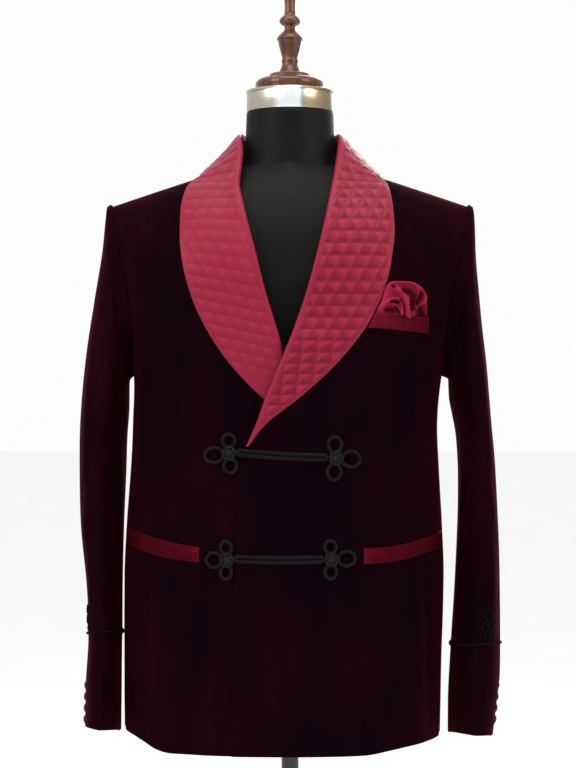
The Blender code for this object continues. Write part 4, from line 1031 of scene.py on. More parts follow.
def stand_shape(across, up):
    """The band inside the back neck, from the neck seam up to the fold."""
    angle = QUARTER * (across * 2 - 1)
    x, depth = NECK_HALF * np.sin(angle), NECK_DEPTH * np.cos(angle)
    climb = np.sin((neck_level(x) - 1) * QUARTER)
    low = np.stack([x, depth + 0.0002, blend(CHEST_HEIGHT, ridge_height(x), climb) + 0.0012], axis=-1)
    top = np.stack([0.0618 * np.sin(angle), 0.0020 + 0.0740 * np.cos(angle), np.full_like(x, 1.4765)],
                   axis=-1)
    return blend(low, top, up[:, None])


cloth_piece("collar_stand", 60, 14, stand_shape, quilted_satin, roll=(0, 0, 0, 0.0012),
            marks=lambda across, up: {"cell_light": np.full_like(across, 0.62)},
            inside=(0.0, -0.02))
print("points in a collar half:", len(made["collar_left"].data.vertices))

# %% [markdown]
# ## Welts
# A welt is a folded strip of plain satin, sewn on over the mouth of a pocket and pressed flat, so its
# edges are round and its face is a little full. All three are read from their corners on the front.

# %% Sew on the welts
BREAST_WELT = table("x low high", [
    (0.0920, 1.2247, 1.2428), (0.1068, 1.2240, 1.2422), (0.1690, 1.2184, 1.2392),
])
HIP_WELT_LEFT = table("x low high", [
    (0.0880, 0.9375, 0.9566), (0.1300, 0.9395, 0.9590), (0.1870, 0.9520, 0.9720),
])
HIP_WELT_RIGHT = table("x low high", [
    (0.1097, 0.9391, 0.9579), (0.1500, 0.9428, 0.9640), (0.2000, 0.9550, 0.9770),
])
WELTS = [
    # name, side, corners, how far its front end leans, and how light the painted sheen makes the satin at its
    # two ends
    ("breast_welt", 1, BREAST_WELT, 0.0085, 0.58, 0.34),
    ("hip_welt_left", 1, HIP_WELT_LEFT, 0.0, 0.46, 0.04),
    ("hip_welt_right", -1, HIP_WELT_RIGHT, 0.0, 0.44, 0.02),
]


def welt_shape(side, tab, lean):
    def shape(across, up):
        x = blend(tab["x"][0] + lean * (0.2 + up), tab["x"][-1], across)
        height = blend(read(tab, "low", x), read(tab, "high", x), up)
        lift = CLEAR + SATIN_HEIGHT + (overlap_lift(x, height) if side > 0 else 0)
        return front_spot(side * x, height, lift)[0]
    return shape


def welt_relief(spots, across, up):
    return 0.0006 * np.sin(np.pi * up) + ripple(spots[:, 0], spots[:, 2], 0.0003)


# Painted sheen: the satin is painted lighter at its front end and darker towards the side, where the lamps
# catch it less.
def welt_painted_sheen(near, far):
    def marks(across, up):
        patches = 0.05 * np.sin(23 * across + 5 * up) * np.sin(9 * across - 3 * up + 1)
        return {"satin_light": np.clip(blend(near, far, across) + patches, 0, 1)}
    return marks


for name, side, tab, lean, near, far in WELTS:
    cloth_piece(name, 60, 24, welt_shape(side, tab, lean), plain_satin, welt_relief,
                thick=0.0020, roll=(0.0014, 0.0014, 0.0016, 0.0016), marks=welt_painted_sheen(near, far))
print("welts:", len(WELTS))

# %% [markdown]
# ## Pocket square
# The square is a puff: the middle of a silk square is pushed up, so one wide fold stands in the centre,
# a rounded rim goes over it, and narrower folds and dark hollows lie on both sides. A simulation would
# give some other puff, so the ridges and hollows are drawn as bent lines, each with a width and a rise.

# %% Puff the pocket square
SQUARE_SIDES = table("height left right", [
    (1.2400, 0.1013, 0.1674),
    (1.2441, 0.1037, 0.1670),
    (1.2522, 0.1082, 0.1666),
    (1.2603, 0.1116, 0.1664),
    (1.2664, 0.1133, 0.1650),
    (1.2725, 0.1150, 0.1602),
    (1.2766, 0.1171, 0.1552),
    (1.2796, 0.1214, 0.1496),
    (1.2815, 0.1280, 0.1425),
])
SQUARE_RIDGES = [
    # width, rise, then the points of a bent line
    (0.0020, 0.0034, [(0.1079, 1.2471), (0.1130, 1.2603), (0.1161, 1.2715), (0.1211, 1.2774),
                     (0.1282, 1.2798), (0.1404, 1.2798), (0.1506, 1.2776), (0.1587, 1.2727),
                     (0.1633, 1.2674), (0.1648, 1.2613), (0.1633, 1.2558), (0.1577, 1.2520),
                     (0.1526, 1.2466), (0.1494, 1.2420)]),
    (0.0060, 0.0026, [(0.1186, 1.2715), (0.1155, 1.2613), (0.1095, 1.2486)]),
    (0.0020, 0.0034, [(0.1079, 1.2456), (0.1171, 1.2552), (0.1257, 1.2603), (0.1318, 1.2595),
                     (0.1352, 1.2542), (0.1366, 1.2441)]),
    (0.0046, 0.0052, [(0.1293, 1.2715), (0.1364, 1.2674), (0.1404, 1.2593), (0.1425, 1.2481),
                     (0.1431, 1.2400)]),
    (0.0013, 0.0028, [(0.1221, 1.2542), (0.1282, 1.2522), (0.1323, 1.2471), (0.1354, 1.2415)]),
    (0.0013, 0.0034, [(0.1516, 1.2761), (0.1559, 1.2705), (0.1552, 1.2644), (0.1528, 1.2583),
                     (0.1526, 1.2481)]),
]
SQUARE_HOLLOWS = [
    (0.0034, -0.0058, [(0.1384, 1.2700), (0.1465, 1.2676), (0.1508, 1.2634), (0.1494, 1.2563),
                     (0.1484, 1.2481)]),
    (0.0026, -0.0052, [(0.1602, 1.2664), (0.1583, 1.2603), (0.1552, 1.2558)]),
    (0.0015, -0.0046, [(0.1227, 1.2565), (0.1313, 1.2559)]),
    (0.0034, -0.0046, [(0.1181, 1.2459), (0.1242, 1.2449)]),
    (0.0010, -0.0026, [(0.1338, 1.2593), (0.1374, 1.2512), (0.1378, 1.2420)]),
    (0.0012, -0.0022, [(0.1282, 1.2497), (0.1323, 1.2431)]),
    (0.0056, -0.0040, [(0.1592, 1.2471), (0.1613, 1.2400)]),
    (0.0012, -0.0016, [(0.1244, 1.2743), (0.1264, 1.2739)]),
]


def bent_lines(x, height, rows):
    """The rise of lines through several points; the widest share of each counts."""
    rise = np.zeros_like(x)
    for width, tall, points in rows:
        near = np.full_like(x, 1.0)
        for (x0, z0), (x1, z1) in zip(points, points[1:]):
            run = np.array([x1 - x0, z1 - z0])
            t = np.clip(((x - x0) * run[0] + (height - z0) * run[1]) / (run @ run), 0, 1)
            near = np.minimum(near, np.hypot(x - x0 - t * run[0], height - z0 - t * run[1]))
        rise += tall * np.exp(-(near / width) ** 2)
    return rise


def square_shape(across, up):
    height = blend(SQUARE_SIDES["height"][0], SQUARE_SIDES["height"][-1], up)
    x = blend(read(SQUARE_SIDES, "left", height), read(SQUARE_SIDES, "right", height), across)
    dome = np.sqrt(np.maximum(0, 1 - (2 * across - 1) ** 2)) * np.sqrt(np.clip((1 - up) / 0.55, 0, 1))
    into_pocket = ramp(height, 1.2400, 1.2450)
    lift = CLEAR + 0.0015 + 0.0060 * dome * blend(0.35, 1, into_pocket)
    return front_spot(x, height, lift)[0]


def square_relief(spots, across, up):
    rim = np.minimum(ramp(across, 0, 0.05), ramp(1 - across, 0, 0.05)) * ramp(1 - up, 0, 0.05)
    lines = bent_lines(spots[:, 0], spots[:, 2], SQUARE_RIDGES + SQUARE_HOLLOWS)
    return np.maximum(lines, -0.0034) * (0.2 + 0.8 * rim)


# Painted shade and highlight: the satin is painted dark in the hollows and light along the ridges.
def square_painted_shade(across, up):
    spots = square_shape(across, up)
    hollow, ridge = (
        np.minimum(bent_lines(spots[:, 0], spots[:, 2], [(width * narrower, 1.0, points)
                                                         for width, _, points in rows]), 1)
        for rows, narrower in ((SQUARE_HOLLOWS, 1.0), (SQUARE_RIDGES, 0.8)))
    return {"satin_light": np.clip(0.70 + 0.28 * ridge - 0.62 * hollow, 0.0, 1.0)}


cloth_piece("pocket_square", 130, 100, square_shape, plain_satin, square_relief,
            thick=0.0008, roll=(0.0012, 0.0012, 0, 0.0012), marks=square_painted_shade)
print("pocket square:", round(float(made["pocket_square"].dimensions.x), 3), "m wide")

# %% [markdown]
# ## Cord
# The frogs are made of black cord: three strands twisted round each other. A bevelled curve would be a
# smooth pipe, so each strand is a small tube of its own that winds round the cord's path. The path is
# given with the way out of the cloth at each point, so the strands stay the same on any surface.

# %% Helpers for cord
CORD = 0.0048
STRAND_SIDES = 7
TWIST_PITCH = 0.0078

cord_finish = speckled_finish(
    "black_silk_cord", (0.0046, 0.0040, 0.0043), 0.60, 420.0, (0.0028, 0.0025, 0.0027),
    (0.0066, 0.0060, 0.0064), 0.00025, 0.5, threads=(900, 900, 2200), Specular_IOR_Level=0.07,
    Sheen_Weight=0.02, Sheen_Roughness=0.40)
# The knots are the same black cord as the loops; this lighter copy is painted light, where their domes catch
# more of the lamps.
knot_painted_light_finish = speckled_finish(
    "black_silk_knot_painted_light", (0.0070, 0.0066, 0.0068), 0.50, 300.0, (0.0052, 0.0049, 0.0050),
    (0.0092, 0.0086, 0.0089), 0.0002, 0.4, Specular_IOR_Level=0.12)


def ring_faces(rows, sides, closed=False, far_end=True):
    """Faces that join rings of points one after another, and close the ends unless the rings meet."""
    faces = [(i * sides + k, i * sides + (k + 1) % sides, (i + 1) % rows * sides + (k + 1) % sides,
              (i + 1) % rows * sides + k)
             for i in range(rows if closed else rows - 1) for k in range(sides)]
    if not closed:
        faces.append(tuple(range(sides))[::-1])
        if far_end:
            faces.append(tuple((rows - 1) * sides + k for k in range(sides)))
    return faces


def evenly(points, outs, step, closed):
    """A path read again at even steps, with its ways out."""
    if closed:
        points, outs = np.vstack([points, points[:1]]), np.vstack([outs, outs[:1]])
    run = np.concatenate([[0], np.cumsum(np.linalg.norm(np.diff(points, axis=0), axis=1))])
    count = max(8, int(round(run[-1] / step)))
    at = np.linspace(0, run[-1], count + 1)[:count if closed else count + 1]
    places = np.stack([np.interp(at, run, column) for column in points.T], axis=-1)
    ways = unit(np.stack([np.interp(at, run, column) for column in outs.T], axis=-1))
    return places, ways, at, float(run[-1])


def tube_mesh(centres, out, aside, radius, closed, sides=STRAND_SIDES):
    """Points and faces of a round tube."""
    angles = (math.tau * np.arange(sides) / sides)[None, :, None]
    ring = (out[:, None] * np.cos(angles) + aside[:, None] * np.sin(angles)) * radius
    return (centres[:, None] + ring).reshape(-1, 3), ring_faces(len(centres), sides, closed)


def along_path(points, closed):
    ahead, behind = np.roll(points, -1, axis=0), np.roll(points, 1, axis=0)
    if not closed:
        ahead[-1], behind[0] = points[-1], points[0]
    return unit(ahead - behind)


def twisted_cord(points, outs, thick=CORD, closed=True, pitch=TWIST_PITCH, strands=3, step=0.0008):
    """Strands wound round a path: a list of (points, faces)."""
    places, out, at, length = evenly(points, outs, step, closed)
    aside = unit(np.cross(along_path(places, closed), out))
    out = np.cross(aside, along_path(places, closed))
    strand = thick / 2 * 0.50
    reach = thick / 2 - strand
    turns = max(1, round(length / pitch))
    parts = []
    for number in range(strands):
        angle = (math.tau * (turns * at / length + number / strands))[:, None]
        centres = places + reach * (out * np.cos(angle) + aside * np.sin(angle))
        parts.append(tube_mesh(centres, out, aside, strand, closed))
    return parts


def joined(name, parts, finish, replaced):
    """Many parts as one mesh, with every face turned outwards."""
    points, faces, start = [], [], 0
    for part_points, part_faces in parts:
        points.append(part_points)
        faces += [tuple(start + corner for corner in face) for face in part_faces]
        start += len(part_points)
    mesh = bpy.data.meshes.new(name)
    mesh.from_pydata(np.vstack(points).tolist(), [], faces)
    bm = bmesh.new()
    bm.from_mesh(mesh)
    bmesh.ops.recalc_face_normals(bm, faces=bm.faces)
    bm.to_mesh(mesh)
    bm.free()
    mesh.shade_smooth()
    mesh.materials.append(finish)
    return set_piece(name, mesh, replaced)


print("cord", CORD * 1000, "mm thick, three strands")

# %% [markdown]
# ## Frogs
# A frog is a knot with three loops, sewn flat on the cloth, and on the closing side a long loop of two
# cords that reaches over to the other frog. The knots are wound balls of thinner cord. They are drawn as
# a line that weaves round a low dome, since tying one in a simulation would take far longer.

# %% Lay the frogs
FROG_LOOPS = {
    "frog_upper_right": [(-0.0743, 1.0885, 0.0194), (-0.0945, 1.0695, 0.0230), (-0.0722, 1.0560, 0.0200)],
    "frog_upper_left": [(0.0532, 1.0845, 0.0206), (0.0745, 1.0650, 0.0236), (0.0525, 1.0480, 0.0212)],
    "frog_lower_right": [(-0.0778, 0.9590, 0.0180), (-0.0925, 0.9425, 0.0226), (-0.0778, 0.9262, 0.0180)],
    "frog_lower_left": [(0.0480, 0.9602, 0.0180), (0.0692, 0.9445, 0.0224), (0.0485, 0.9270, 0.0184)],
}
FROG_KNOTS = {
    "frog_upper_right": (-0.0735, 1.0725), "frog_upper_left": (0.0548, 1.0664),
    "frog_lower_right": (-0.0760, 0.9427), "frog_lower_left": (0.0498, 0.9437),
}
FROG_BARS = {
    "frog_upper_bar": (-0.0622, 1.0735, 0.0435, 1.0672),
    "frog_lower_bar": (-0.0648, 0.9445, 0.0385, 0.9440),
}
KNOT_RADIUS, KNOT_RISE = 0.0093, 0.0042
BAR_WIDTH, BAR_CORD = 0.0108, 0.0053
LAP_WAY, OVER_LAP = 0.0035, 0.0030
LOOP_LIE, BAR_LIE = 0.0005, 0.0006


def cloth_lift(x, height):
    """How far the topmost cloth stands off the jacket's surface on the front."""
    return np.where(x > read(FRONT_EDGE_LEFT, "x", height), overlap_lift(x, height), 0.0)


def frog_loop(knot, x, height, size):
    """The path of a loop, drawn out towards its knot until it goes under it."""
    lift = float(cloth_lift(np.array([x]), np.array([height]))[0]) + LOOP_LIE + CORD / 2
    away = np.array([x - knot[0], height - knot[1]])
    reach = float(np.hypot(*away))
    away = away / reach
    far, near = reach + size / 2, KNOT_RADIUS - CORD
    angle = math.tau * np.arange(72) / 72
    ahead = (far + near) / 2 + np.cos(angle) * (size - CORD) / 2 * (far - near) / size
    aside = np.sin(angle) * (size - CORD) / 2
    return front_spot(knot[0] + away[0] * ahead - away[1] * aside,
                      knot[1] + away[1] * ahead + away[0] * aside, np.full_like(angle, lift))


def frog_knot(knot):
    """A ball woven of thin cord: a line that goes round three times and in and out five times."""
    around, in_and_out, thin = 3, 5, 0.0031
    t = np.linspace(0, math.tau * around, 300, endpoint=False)
    swing = in_and_out * t / around
    radius = (KNOT_RADIUS - thin / 2) * (0.58 + 0.42 * np.cos(swing))
    rise = KNOT_RISE * np.sqrt(1 - 0.75 * (radius / KNOT_RADIUS) ** 2) + 0.0008 * np.sin(2 * swing + 0.6)
    base = float(cloth_lift(np.array([knot[0]]), np.array([knot[1]]))[0]) + 0.0010
    places, outs = front_spot(knot[0] + radius * np.cos(t), knot[1] + radius * np.sin(t), base + rise)
    sides = 20
    dome_t = np.linspace(0, math.tau, sides, endpoint=False)
    dome = []
    for share in (0.98, 0.80, 0.55, 0.25):
        dome.append(front_spot(knot[0] + KNOT_RADIUS * share * np.cos(dome_t),
                               knot[1] + KNOT_RADIUS * share * np.sin(dome_t),
                               np.full_like(dome_t, base + KNOT_RISE * math.sqrt(1 - share ** 2) * 0.9))[0])
    cords = twisted_cord(places, outs, thin, pitch=0.0050, step=0.0006)
    return cords + [(np.vstack(dome), ring_faces(len(dome), sides))]


def frog_bar(name):
    start_x, start_z, end_x, end_z = FROG_BARS[name]
    radius = (BAR_WIDTH - BAR_CORD) / 2
    turn = np.linspace(-QUARTER, QUARTER, 14)
    straight = np.linspace(0, 1, 60)[1:-1]
    right_end, left_end = end_x - radius, start_x + radius
    x = np.concatenate([right_end + radius * np.cos(turn), blend(right_end, left_end, straight),
                        left_end - radius * np.cos(turn), blend(left_end, right_end, straight)])
    across = np.concatenate([radius * np.sin(turn), np.full(58, radius), -radius * np.sin(turn),
                             np.full(58, -radius)])
    share = (x - start_x) / (end_x - start_x)
    height = blend(start_z, end_z, share) + across - 0.0012 * np.sin(np.pi * share)
    lift = np.maximum(cloth_lift(x + LAP_WAY, height), OVER_LAP) + BAR_LIE + BAR_CORD / 2
    return front_spot(x, height, lift)


for name, loops in FROG_LOOPS.items():
    joined(name + "_knot", frog_knot(FROG_KNOTS[name]), knot_painted_light_finish, ())
    cords = []
    for loop in loops:
        cords += twisted_cord(*frog_loop(FROG_KNOTS[name], *loop))
    joined(name, cords, cord_finish, name)
for name in FROG_BARS:
    joined(name, twisted_cord(*frog_bar(name), thick=BAR_CORD), cord_finish, name)
print("frogs:", len(FROG_LOOPS), "bars:", len(FROG_BARS))

# %% [markdown]
# ## Cuff braid and buttons
# Round each sleeve, a hand above the cuff, runs a ring of darker, finer cord with a little trefoil on it,
# towards the front of the sleeve. Four buttons stand in a row on the outer side of the cuff. They are
# domes with a rim, turned like a bowl on a lathe.

# %% Trim the cuffs
BRAID = 0.0038
BRAID_SHARE = 0.820
TREFOIL_ANGLE = {1: math.pi - 0.26, -1: math.pi - 0.80}
# The trefoil's loops: turn round the sleeve, rise over the ring, radius
TREFOIL = [(0.0, 0.0250, 0.0056), (-0.095, 0.0150, 0.0046), (0.095, 0.0150, 0.0046),
           (0.0, 0.0185, 0.0022), (0.0, 0.0060, 0.0038)]
TREFOIL_CORD, RING_LIE, LOOP_OFF, BUTTON_LIE = 0.0030, 0.0009, 0.0014, 0.0008
BUTTONS = 4
BUTTON_LOWEST, BUTTON_PITCH, BUTTON_ANGLE = 0.7290, 0.0142, 1.30
BUTTON_OUTLINE = [(0.0062, 0.0000), (0.0066, 0.0008), (0.0066, 0.0018), (0.0061, 0.0026), (0.0056, 0.0026),
                  (0.0052, 0.0030), (0.0044, 0.0038), (0.0030, 0.0045), (0.0014, 0.0049), (0.0002, 0.0050)]

braid_finish = speckled_finish(
    "black_cuff_braid", (0.0024, 0.0013, 0.0017), 0.70, 260.0, (0.0016, 0.0009, 0.0013),
    (0.0048, 0.0030, 0.0036), 0.00025, 0.5, Specular_IOR_Level=0.03)
button_finish = speckled_finish(
    "dark_button", (0.0060, 0.0016, 0.0022), 0.40, 300.0, (0.0050, 0.0012, 0.0018),
    (0.0082, 0.0024, 0.0031), 0.0002, 0.3, Specular_IOR_Level=0.14)


def sleeve_out(side, angle, share, tiny=0.003):
    over = sleeve_spot(side, angle + tiny, share) - sleeve_spot(side, angle - tiny, share)
    down = sleeve_spot(side, angle, share + tiny) - sleeve_spot(side, angle, share - tiny)
    out = unit(np.cross(over, down))
    middle = (sleeve_spot(side, np.full_like(angle, QUARTER), share)
              + sleeve_spot(side, np.full_like(angle, -QUARTER), share)) / 2
    return out * np.sign(np.sum(out * (sleeve_spot(side, angle, share) - middle), axis=-1))[:, None]


def braid_share(side, angle):
    """How far down the sleeve the ring lies: higher in front, so that it looks level from there."""
    front = np.maximum(-np.cos(angle), 0)
    if side > 0:
        return BRAID_SHARE - 0.0060 * np.sin(angle) - 0.0085 * front
    return BRAID_SHARE + 0.0010 * np.sin(angle) - 0.0125 * front


def braid_ring(side):
    angle = math.tau * np.arange(160) / 160
    share = braid_share(side, angle)
    out = sleeve_out(side, angle, share)
    return sleeve_spot(side, angle, share) + out * RING_LIE, out


def braid_loop(side, turn, rise, radius):
    """A small upright loop of braid on the sleeve over the ring."""
    angle = np.array([TREFOIL_ANGLE[side] + turn])
    share = braid_share(side, angle) - rise / 0.68
    out = sleeve_out(side, angle, share)[0]
    centre = sleeve_spot(side, angle, share)[0] + out * LOOP_OFF
    aside = unit(np.cross([0, 0, 1.0], out))
    up = np.cross(out, aside)
    t = (math.tau * np.arange(40) / 40)[:, None]
    return centre + radius * (np.cos(t) * aside + np.sin(t) * up), np.tile(out, (40, 1))


def lathe(outline, sides, place=(0, 0, 0), ways=((1, 0, 0), (0, 1, 0), (0, 0, 1))):
    """A turned form: (radius, height) pairs spun round, closed at both ends."""
    outline, ways = np.array(outline, float), np.array(ways, float)
    angle = math.tau * np.arange(sides) / sides
    points = [place + radius * (np.cos(a) * ways[0] + np.sin(a) * ways[1]) + height * ways[2]
              for radius, height in outline for a in angle]
    return np.array(points), ring_faces(len(outline), sides)


def button_place(side, number):
    height, share = BUTTON_LOWEST + number * BUTTON_PITCH, np.array([0.9])
    angle = np.array([BUTTON_ANGLE])
    for _ in range(40):
        share = share + (sleeve_spot(side, angle, share)[:, 2] - height) * 0.9
    out = sleeve_out(side, angle, share)[0]
    aside = unit(np.cross([0, 0, 1.0], out))
    return sleeve_spot(side, angle, share)[0] + out * BUTTON_LIE, (aside, np.cross(out, aside), out)


for side, word in SIDES:
    cords = twisted_cord(*braid_ring(side), thick=BRAID)
    for turn, rise, radius in TREFOIL:
        cords += twisted_cord(*braid_loop(side, turn, rise, radius), thick=TREFOIL_CORD, pitch=0.0050,
                              step=0.0006)
    joined(f"cuff_braid_{word}", cords, braid_finish, f"cuff_braid_{word}")
    for number in range(BUTTONS):
        place, ways = button_place(side, number)
        name = f"cuff_button_{word}_{number + 1}"
        joined(name, [lathe(BUTTON_OUTLINE, 36, place, ways)], button_finish, name)
print("cuff buttons:", BUTTONS * len(SIDES))

# %% [markdown]
# ## The dress form
# Under the coat is a padded torso in black jersey, which shows in the neck opening. Its neck flows into
# the shoulders in a soft hollow. The same kind of formula as the coat's gives the torso, and a short
# skirt of faces spreads from the neck onto it.

# %% Make the form
FORM = table("height half front back centre", [
    (0.800, 0.165, 0.100, 0.102, -0.0040),
    (0.900, 0.172, 0.105, 0.100, -0.0040),
    (0.980, 0.170, 0.104, 0.094, -0.0040),
    (1.060, 0.161, 0.100, 0.086, -0.0040),
    (1.165, 0.164, 0.104, 0.089, -0.0020),
    (1.275, 0.176, 0.114, 0.104, 0.0000),
])
FORM_BOTTOM, FORM_DROP, FORM_SPREAD = 0.800, 0.0033, 0.16
NECK_MIDDLE, NECK_TOP = 0.008, 1.5040
NECK_HIGH_RADIUS, NECK_LOW_RADIUS = 0.0558, 0.0580

jersey = speckled_finish(
    "black_jersey", (0.0020, 0.0020, 0.0021), 0.55, 30.0, (0.0018, 0.0018, 0.0019),
    (0.0030, 0.0030, 0.0031), 0.0002, 0.4, threads=(1200, 1200, 700), Specular_IOR_Level=0.08,
    Sheen_Weight=0.01, Sheen_Roughness=0.45)


def form_ridge(x, y):
    """The ridge of the form's shoulders under the coat's, a little hollow behind."""
    return ridge_height(x) - FORM_DROP - 0.0035 * ramp(y, 0.0, 0.012)


def form_spot(turn, level):
    return block_spot(FORM, FORM_BOTTOM, FORM_SPREAD, turn, level,
                      lambda x, y: form_ridge(x, y) - 8.0 * np.maximum(np.abs(x) - 0.165, 0) ** 2)


def torso_part(rows=110, columns=180):
    level, turn = np.meshgrid(np.linspace(0, 2, rows), math.tau * np.arange(columns) / columns,
                              indexing="ij")
    return form_spot(turn.ravel(), level.ravel()), ring_faces(rows, columns, far_end=False)


def neck_part(columns=96):
    """The neck, from its closed top down, and the hollow where it spreads onto the shoulders."""
    angle = math.tau * np.arange(columns) / columns
    in_front = np.maximum(-np.sin(angle), 0) ** 0.7
    spread = blend(0.0060, 0.0300, in_front)
    tall = blend(0.010, 0.034, in_front)

    def ring(radius, height):
        return np.stack([radius * np.cos(angle), NECK_MIDDLE + radius * np.sin(angle),
                         np.broadcast_to(height, angle.shape)], axis=-1)
    foot = ring(NECK_LOW_RADIUS + spread, 0.0)
    x, y = foot[:, 0], foot[:, 1]
    foot_height = dome_height(FORM, FORM_SPREAD, x, y, form_ridge(x, y)) - 0.0004
    rows = [ring(0.0545, NECK_TOP)]
    for share in np.linspace(0, 1, 14):
        rows.append(ring(blend(NECK_HIGH_RADIUS, NECK_LOW_RADIUS, share),
                         blend(NECK_TOP - 0.0008, foot_height + tall, share)))
    for bend in np.linspace(0, QUARTER, 16)[1:]:
        rows.append(ring(NECK_LOW_RADIUS + spread * (1 - np.cos(bend)),
                         foot_height + tall * (1 - np.sin(bend))))
    return np.vstack(rows), ring_faces(len(rows), columns, far_end=False)


joined("form_torso", [torso_part(), neck_part()], jersey, "form_torso")
print("form made, neck", round(2 * NECK_HIGH_RADIUS, 4), "m wide")

# %% [markdown]
# ## Neck ring, finial and stand
# These are real turned pieces, so each is an outline spun round. The finial's corners are cut off a few
# times over, which rounds them, and sharp edges stay sharp where an outline turns by more than 35 degrees.
# The ring is silver metal with fine brush marks, and its colour is a painted reflection: bands of a room
# painted from its middle to its sides. The finial is red-brown wood under gloss varnish, and the pole and
# base have black satin paint.

# %% Turn the stand
FINIAL = [
    # height, radius; corners are cut round afterwards
    (1.5331, 0.0395), (1.5332, 0.0428), (1.5390, 0.0446), (1.5440, 0.0440), (1.5480, 0.0376),
    (1.5486, 0.0262), (1.5510, 0.0268), (1.5545, 0.0258), (1.5553, 0.0160), (1.5557, 0.0141),
    (1.5595, 0.0128), (1.5640, 0.0108), (1.5682, 0.0100), (1.5692, 0.0108), (1.5720, 0.0109),
    (1.5738, 0.0100), (1.5760, 0.0102), (1.5838, 0.0126), (1.5900, 0.0141), (1.5955, 0.0152),
    (1.5968, 0.0150), (1.5976, 0.0168), (1.6006, 0.0168), (1.6052, 0.0128), (1.6094, 0.0082),
    (1.6115, 0.0069), (1.6160, 0.0069), (1.6172, 0.0110), (1.6205, 0.0136), (1.6240, 0.0136),
    (1.6278, 0.0104), (1.6300, 0.0072), (1.6420, 0.0066), (1.6530, 0.0080), (1.6580, 0.0092),
    (1.6630, 0.0080), (1.6665, 0.0040),
]
RING_RADIUS, RING_LOW, RING_HIGH = 0.0555, NECK_TOP + 0.0003, NECK_TOP + 0.0281
POLE_RADIUS, BASE_RADIUS = 0.0110, 0.160

silver, silver_tree, silver_shader = new_finish(
    "brushed_silver", (0.62, 0.60, 0.58), 0.26, Metallic=1.0, Anisotropic=0.6)
brushed = noise_node(silver_tree, place_nodes(silver_tree, (40, 40, 4200)), 1.0, 2.0)
# Painted reflection: bands across x, a pale room in the middle and warm dark sides, stand in for what the
# metal reflects.
colour_by(silver_tree, silver_shader, math_node(silver_tree, "MULTIPLY_ADD", x_node(silver_tree), 9.0, 0.5), [
    (0.02, (0.40, 0.36, 0.28)), (0.30, (0.46, 0.42, 0.34)), (0.38, (0.84, 0.86, 0.88)),
    (0.60, (0.84, 0.86, 0.88)), (0.64, (0.30, 0.34, 0.30)), (0.70, (0.40, 0.32, 0.20)),
    (0.98, (0.20, 0.14, 0.085))])
raise_threads(silver_tree, silver_shader, brushed, 0.00006, 0.35)

wood, wood_tree, wood_shader = new_finish(
    "varnished_wood", (0.060, 0.018, 0.009), 0.30, Specular_IOR_Level=0.20, Coat_Weight=0.22,
    Coat_Roughness=0.12)
grain = noise_node(wood_tree, place_nodes(wood_tree, (130, 130, 14)), 1.0, 4.0)
colour_by(wood_tree, wood_shader, grain, [(0.30, (0.030, 0.0085, 0.0035)), (0.55, (0.074, 0.0240, 0.0100)),
                                          (0.80, (0.165, 0.0640, 0.0300))])
raise_threads(wood_tree, wood_shader, grain, 0.0001, 0.2)

paint = speckled_finish("black_satin_paint", (0.012, 0.012, 0.012), 0.38, 700.0, (0.010, 0.010, 0.010),
                        (0.016, 0.016, 0.016), 0.00008, 0.3, Specular_IOR_Level=0.45)


def turned(name, outline, finish, sides, middle=NECK_MIDDLE, sharp=35):
    piece = joined(name, [lathe(outline, sides, (0, middle, 0))], finish, name)
    piece.data.set_sharp_from_angle(angle=math.radians(sharp))
    return piece


def rounded(rows, times=3):
    """An outline of (radius, height) whose corners have been cut off a few times over."""
    points = np.array([(radius, height) for height, radius in rows])
    for _ in range(times):
        cut = np.stack([blend(points[:-1], points[1:], 0.25), blend(points[:-1], points[1:], 0.75)], axis=1)
        points = np.vstack([points[:1], cut.reshape(-1, 2)[1:-1], points[-1:]])
    return points


turned("neck_finial", rounded(FINIAL), wood, 72)
turned("neck_ring", [
    (RING_RADIUS - 0.0020, RING_LOW), (RING_RADIUS - 0.0006, RING_LOW + 0.0004),
    (RING_RADIUS, RING_LOW + 0.0016), (RING_RADIUS, RING_HIGH - 0.0052),
    (RING_RADIUS - 0.0008, RING_HIGH - 0.0046), (RING_RADIUS - 0.0008, RING_HIGH - 0.0040),
    (RING_RADIUS + 0.0004, RING_HIGH - 0.0032), (RING_RADIUS + 0.0008, RING_HIGH - 0.0020),
    (RING_RADIUS + 0.0004, RING_HIGH - 0.0008), (RING_RADIUS - 0.0010, RING_HIGH), (0.020, RING_HIGH),
], silver, 160)
turned("stand_pole", [
    (POLE_RADIUS - 0.001, 0.0283), (POLE_RADIUS, 0.0290), (POLE_RADIUS, FORM_BOTTOM - 0.0010),
    (POLE_RADIUS - 0.001, FORM_BOTTOM - 0.0003),
], paint, 64, middle=0)
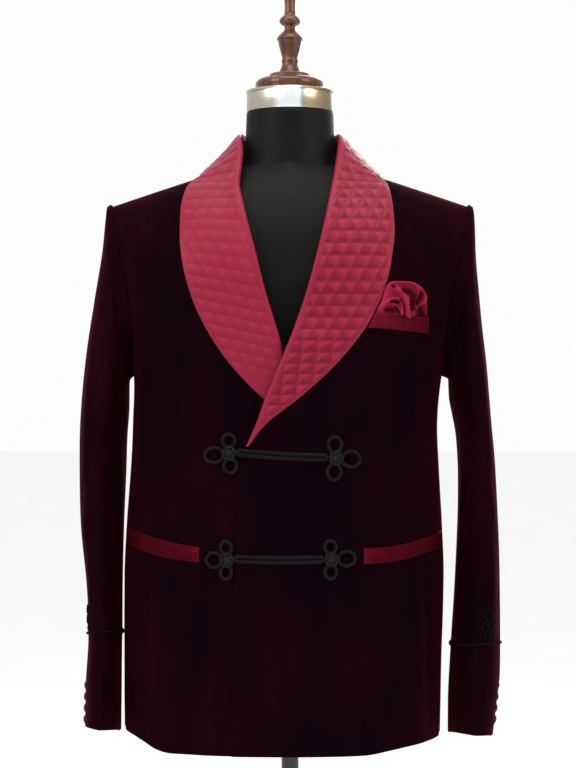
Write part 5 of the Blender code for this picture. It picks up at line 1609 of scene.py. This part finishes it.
turned("stand_base", [
    (BASE_RADIUS - 0.0015, 0.0), (BASE_RADIUS, 0.0015), (BASE_RADIUS, 0.0085),
    (BASE_RADIUS - 0.0012, 0.0106), (BASE_RADIUS - 0.0045, 0.0130), (BASE_RADIUS - 0.0080, 0.0143),
    (0.120, 0.0172), (0.080, 0.0200),
    (0.050, 0.0228), (0.030, 0.0254), (0.0235, 0.0270), (0.0220, 0.0280),
], paint, 128, middle=0)
print("stand made, base", 2 * BASE_RADIUS, "m wide")

# %% [markdown]
# ## The cut of each piece
# Cloth is cut flat and then hung, so each piece states the oblong that it would come out of and its own
# area inside it, since a front or a sleeve is no rectangle. There is no paper pattern here: both were
# measured on the made sheets, so the two areas printed below agree by the way they were found.

CUTS = [
    # pieces, width and length of the oblong, area in it, how it is held, what it rests on
    (("front_left", "front_right"), (0.335, 0.775), 0.1890, "draped", ("form_torso",)),
    (("back_left", "back_right"), (0.262, 0.745), 0.1610, "draped", ("form_torso",)),
    (("side_left",), (0.110, 0.525), 0.0471, "hung", ("front_left", "back_left")),
    (("side_right",), (0.110, 0.525), 0.0464, "hung", ("front_right", "back_right")),
    (("sleeve_left_top",), (0.215, 0.690), 0.1185, "hung", ("front_left",)),
    (("sleeve_right_top",), (0.215, 0.690), 0.1175, "hung", ("front_right",)),
    (("sleeve_left_under",), (0.165, 0.555), 0.0672, "hung", ("sleeve_left_top",)),
    (("sleeve_right_under",), (0.165, 0.555), 0.0662, "hung", ("sleeve_right_top",)),
    (("collar_left",), (0.130, 0.590), 0.0470, "folded", ("front_left", "back_left")),
    (("collar_right",), (0.130, 0.560), 0.0445, "folded", ("front_right", "back_right")),
    (("collar_stand",), (0.215, 0.062), 0.0107, "folded", ("back_left", "back_right")),
    (("breast_welt",), (0.082, 0.0225), 0.00176, "laid", ("front_left",)),
    (("hip_welt_left",), (0.136, 0.0220), 0.00284, "laid", ("front_left",)),
    (("hip_welt_right",), (0.132, 0.0225), 0.00278, "laid", ("front_right",)),
    (("pocket_square",), (0.082, 0.0600), 0.00420, "folded", ("breast_welt",)),
]
for names, flat, area, held, rests_on in CUTS:
    for name in names:
        hanging = sum(face.area for face in made[name].data.polygons)
        print(f"{name}: cut {area:.5f} m2 out of {flat[0]} x {flat[1]} m, hangs as {hanging:.5f} m2")
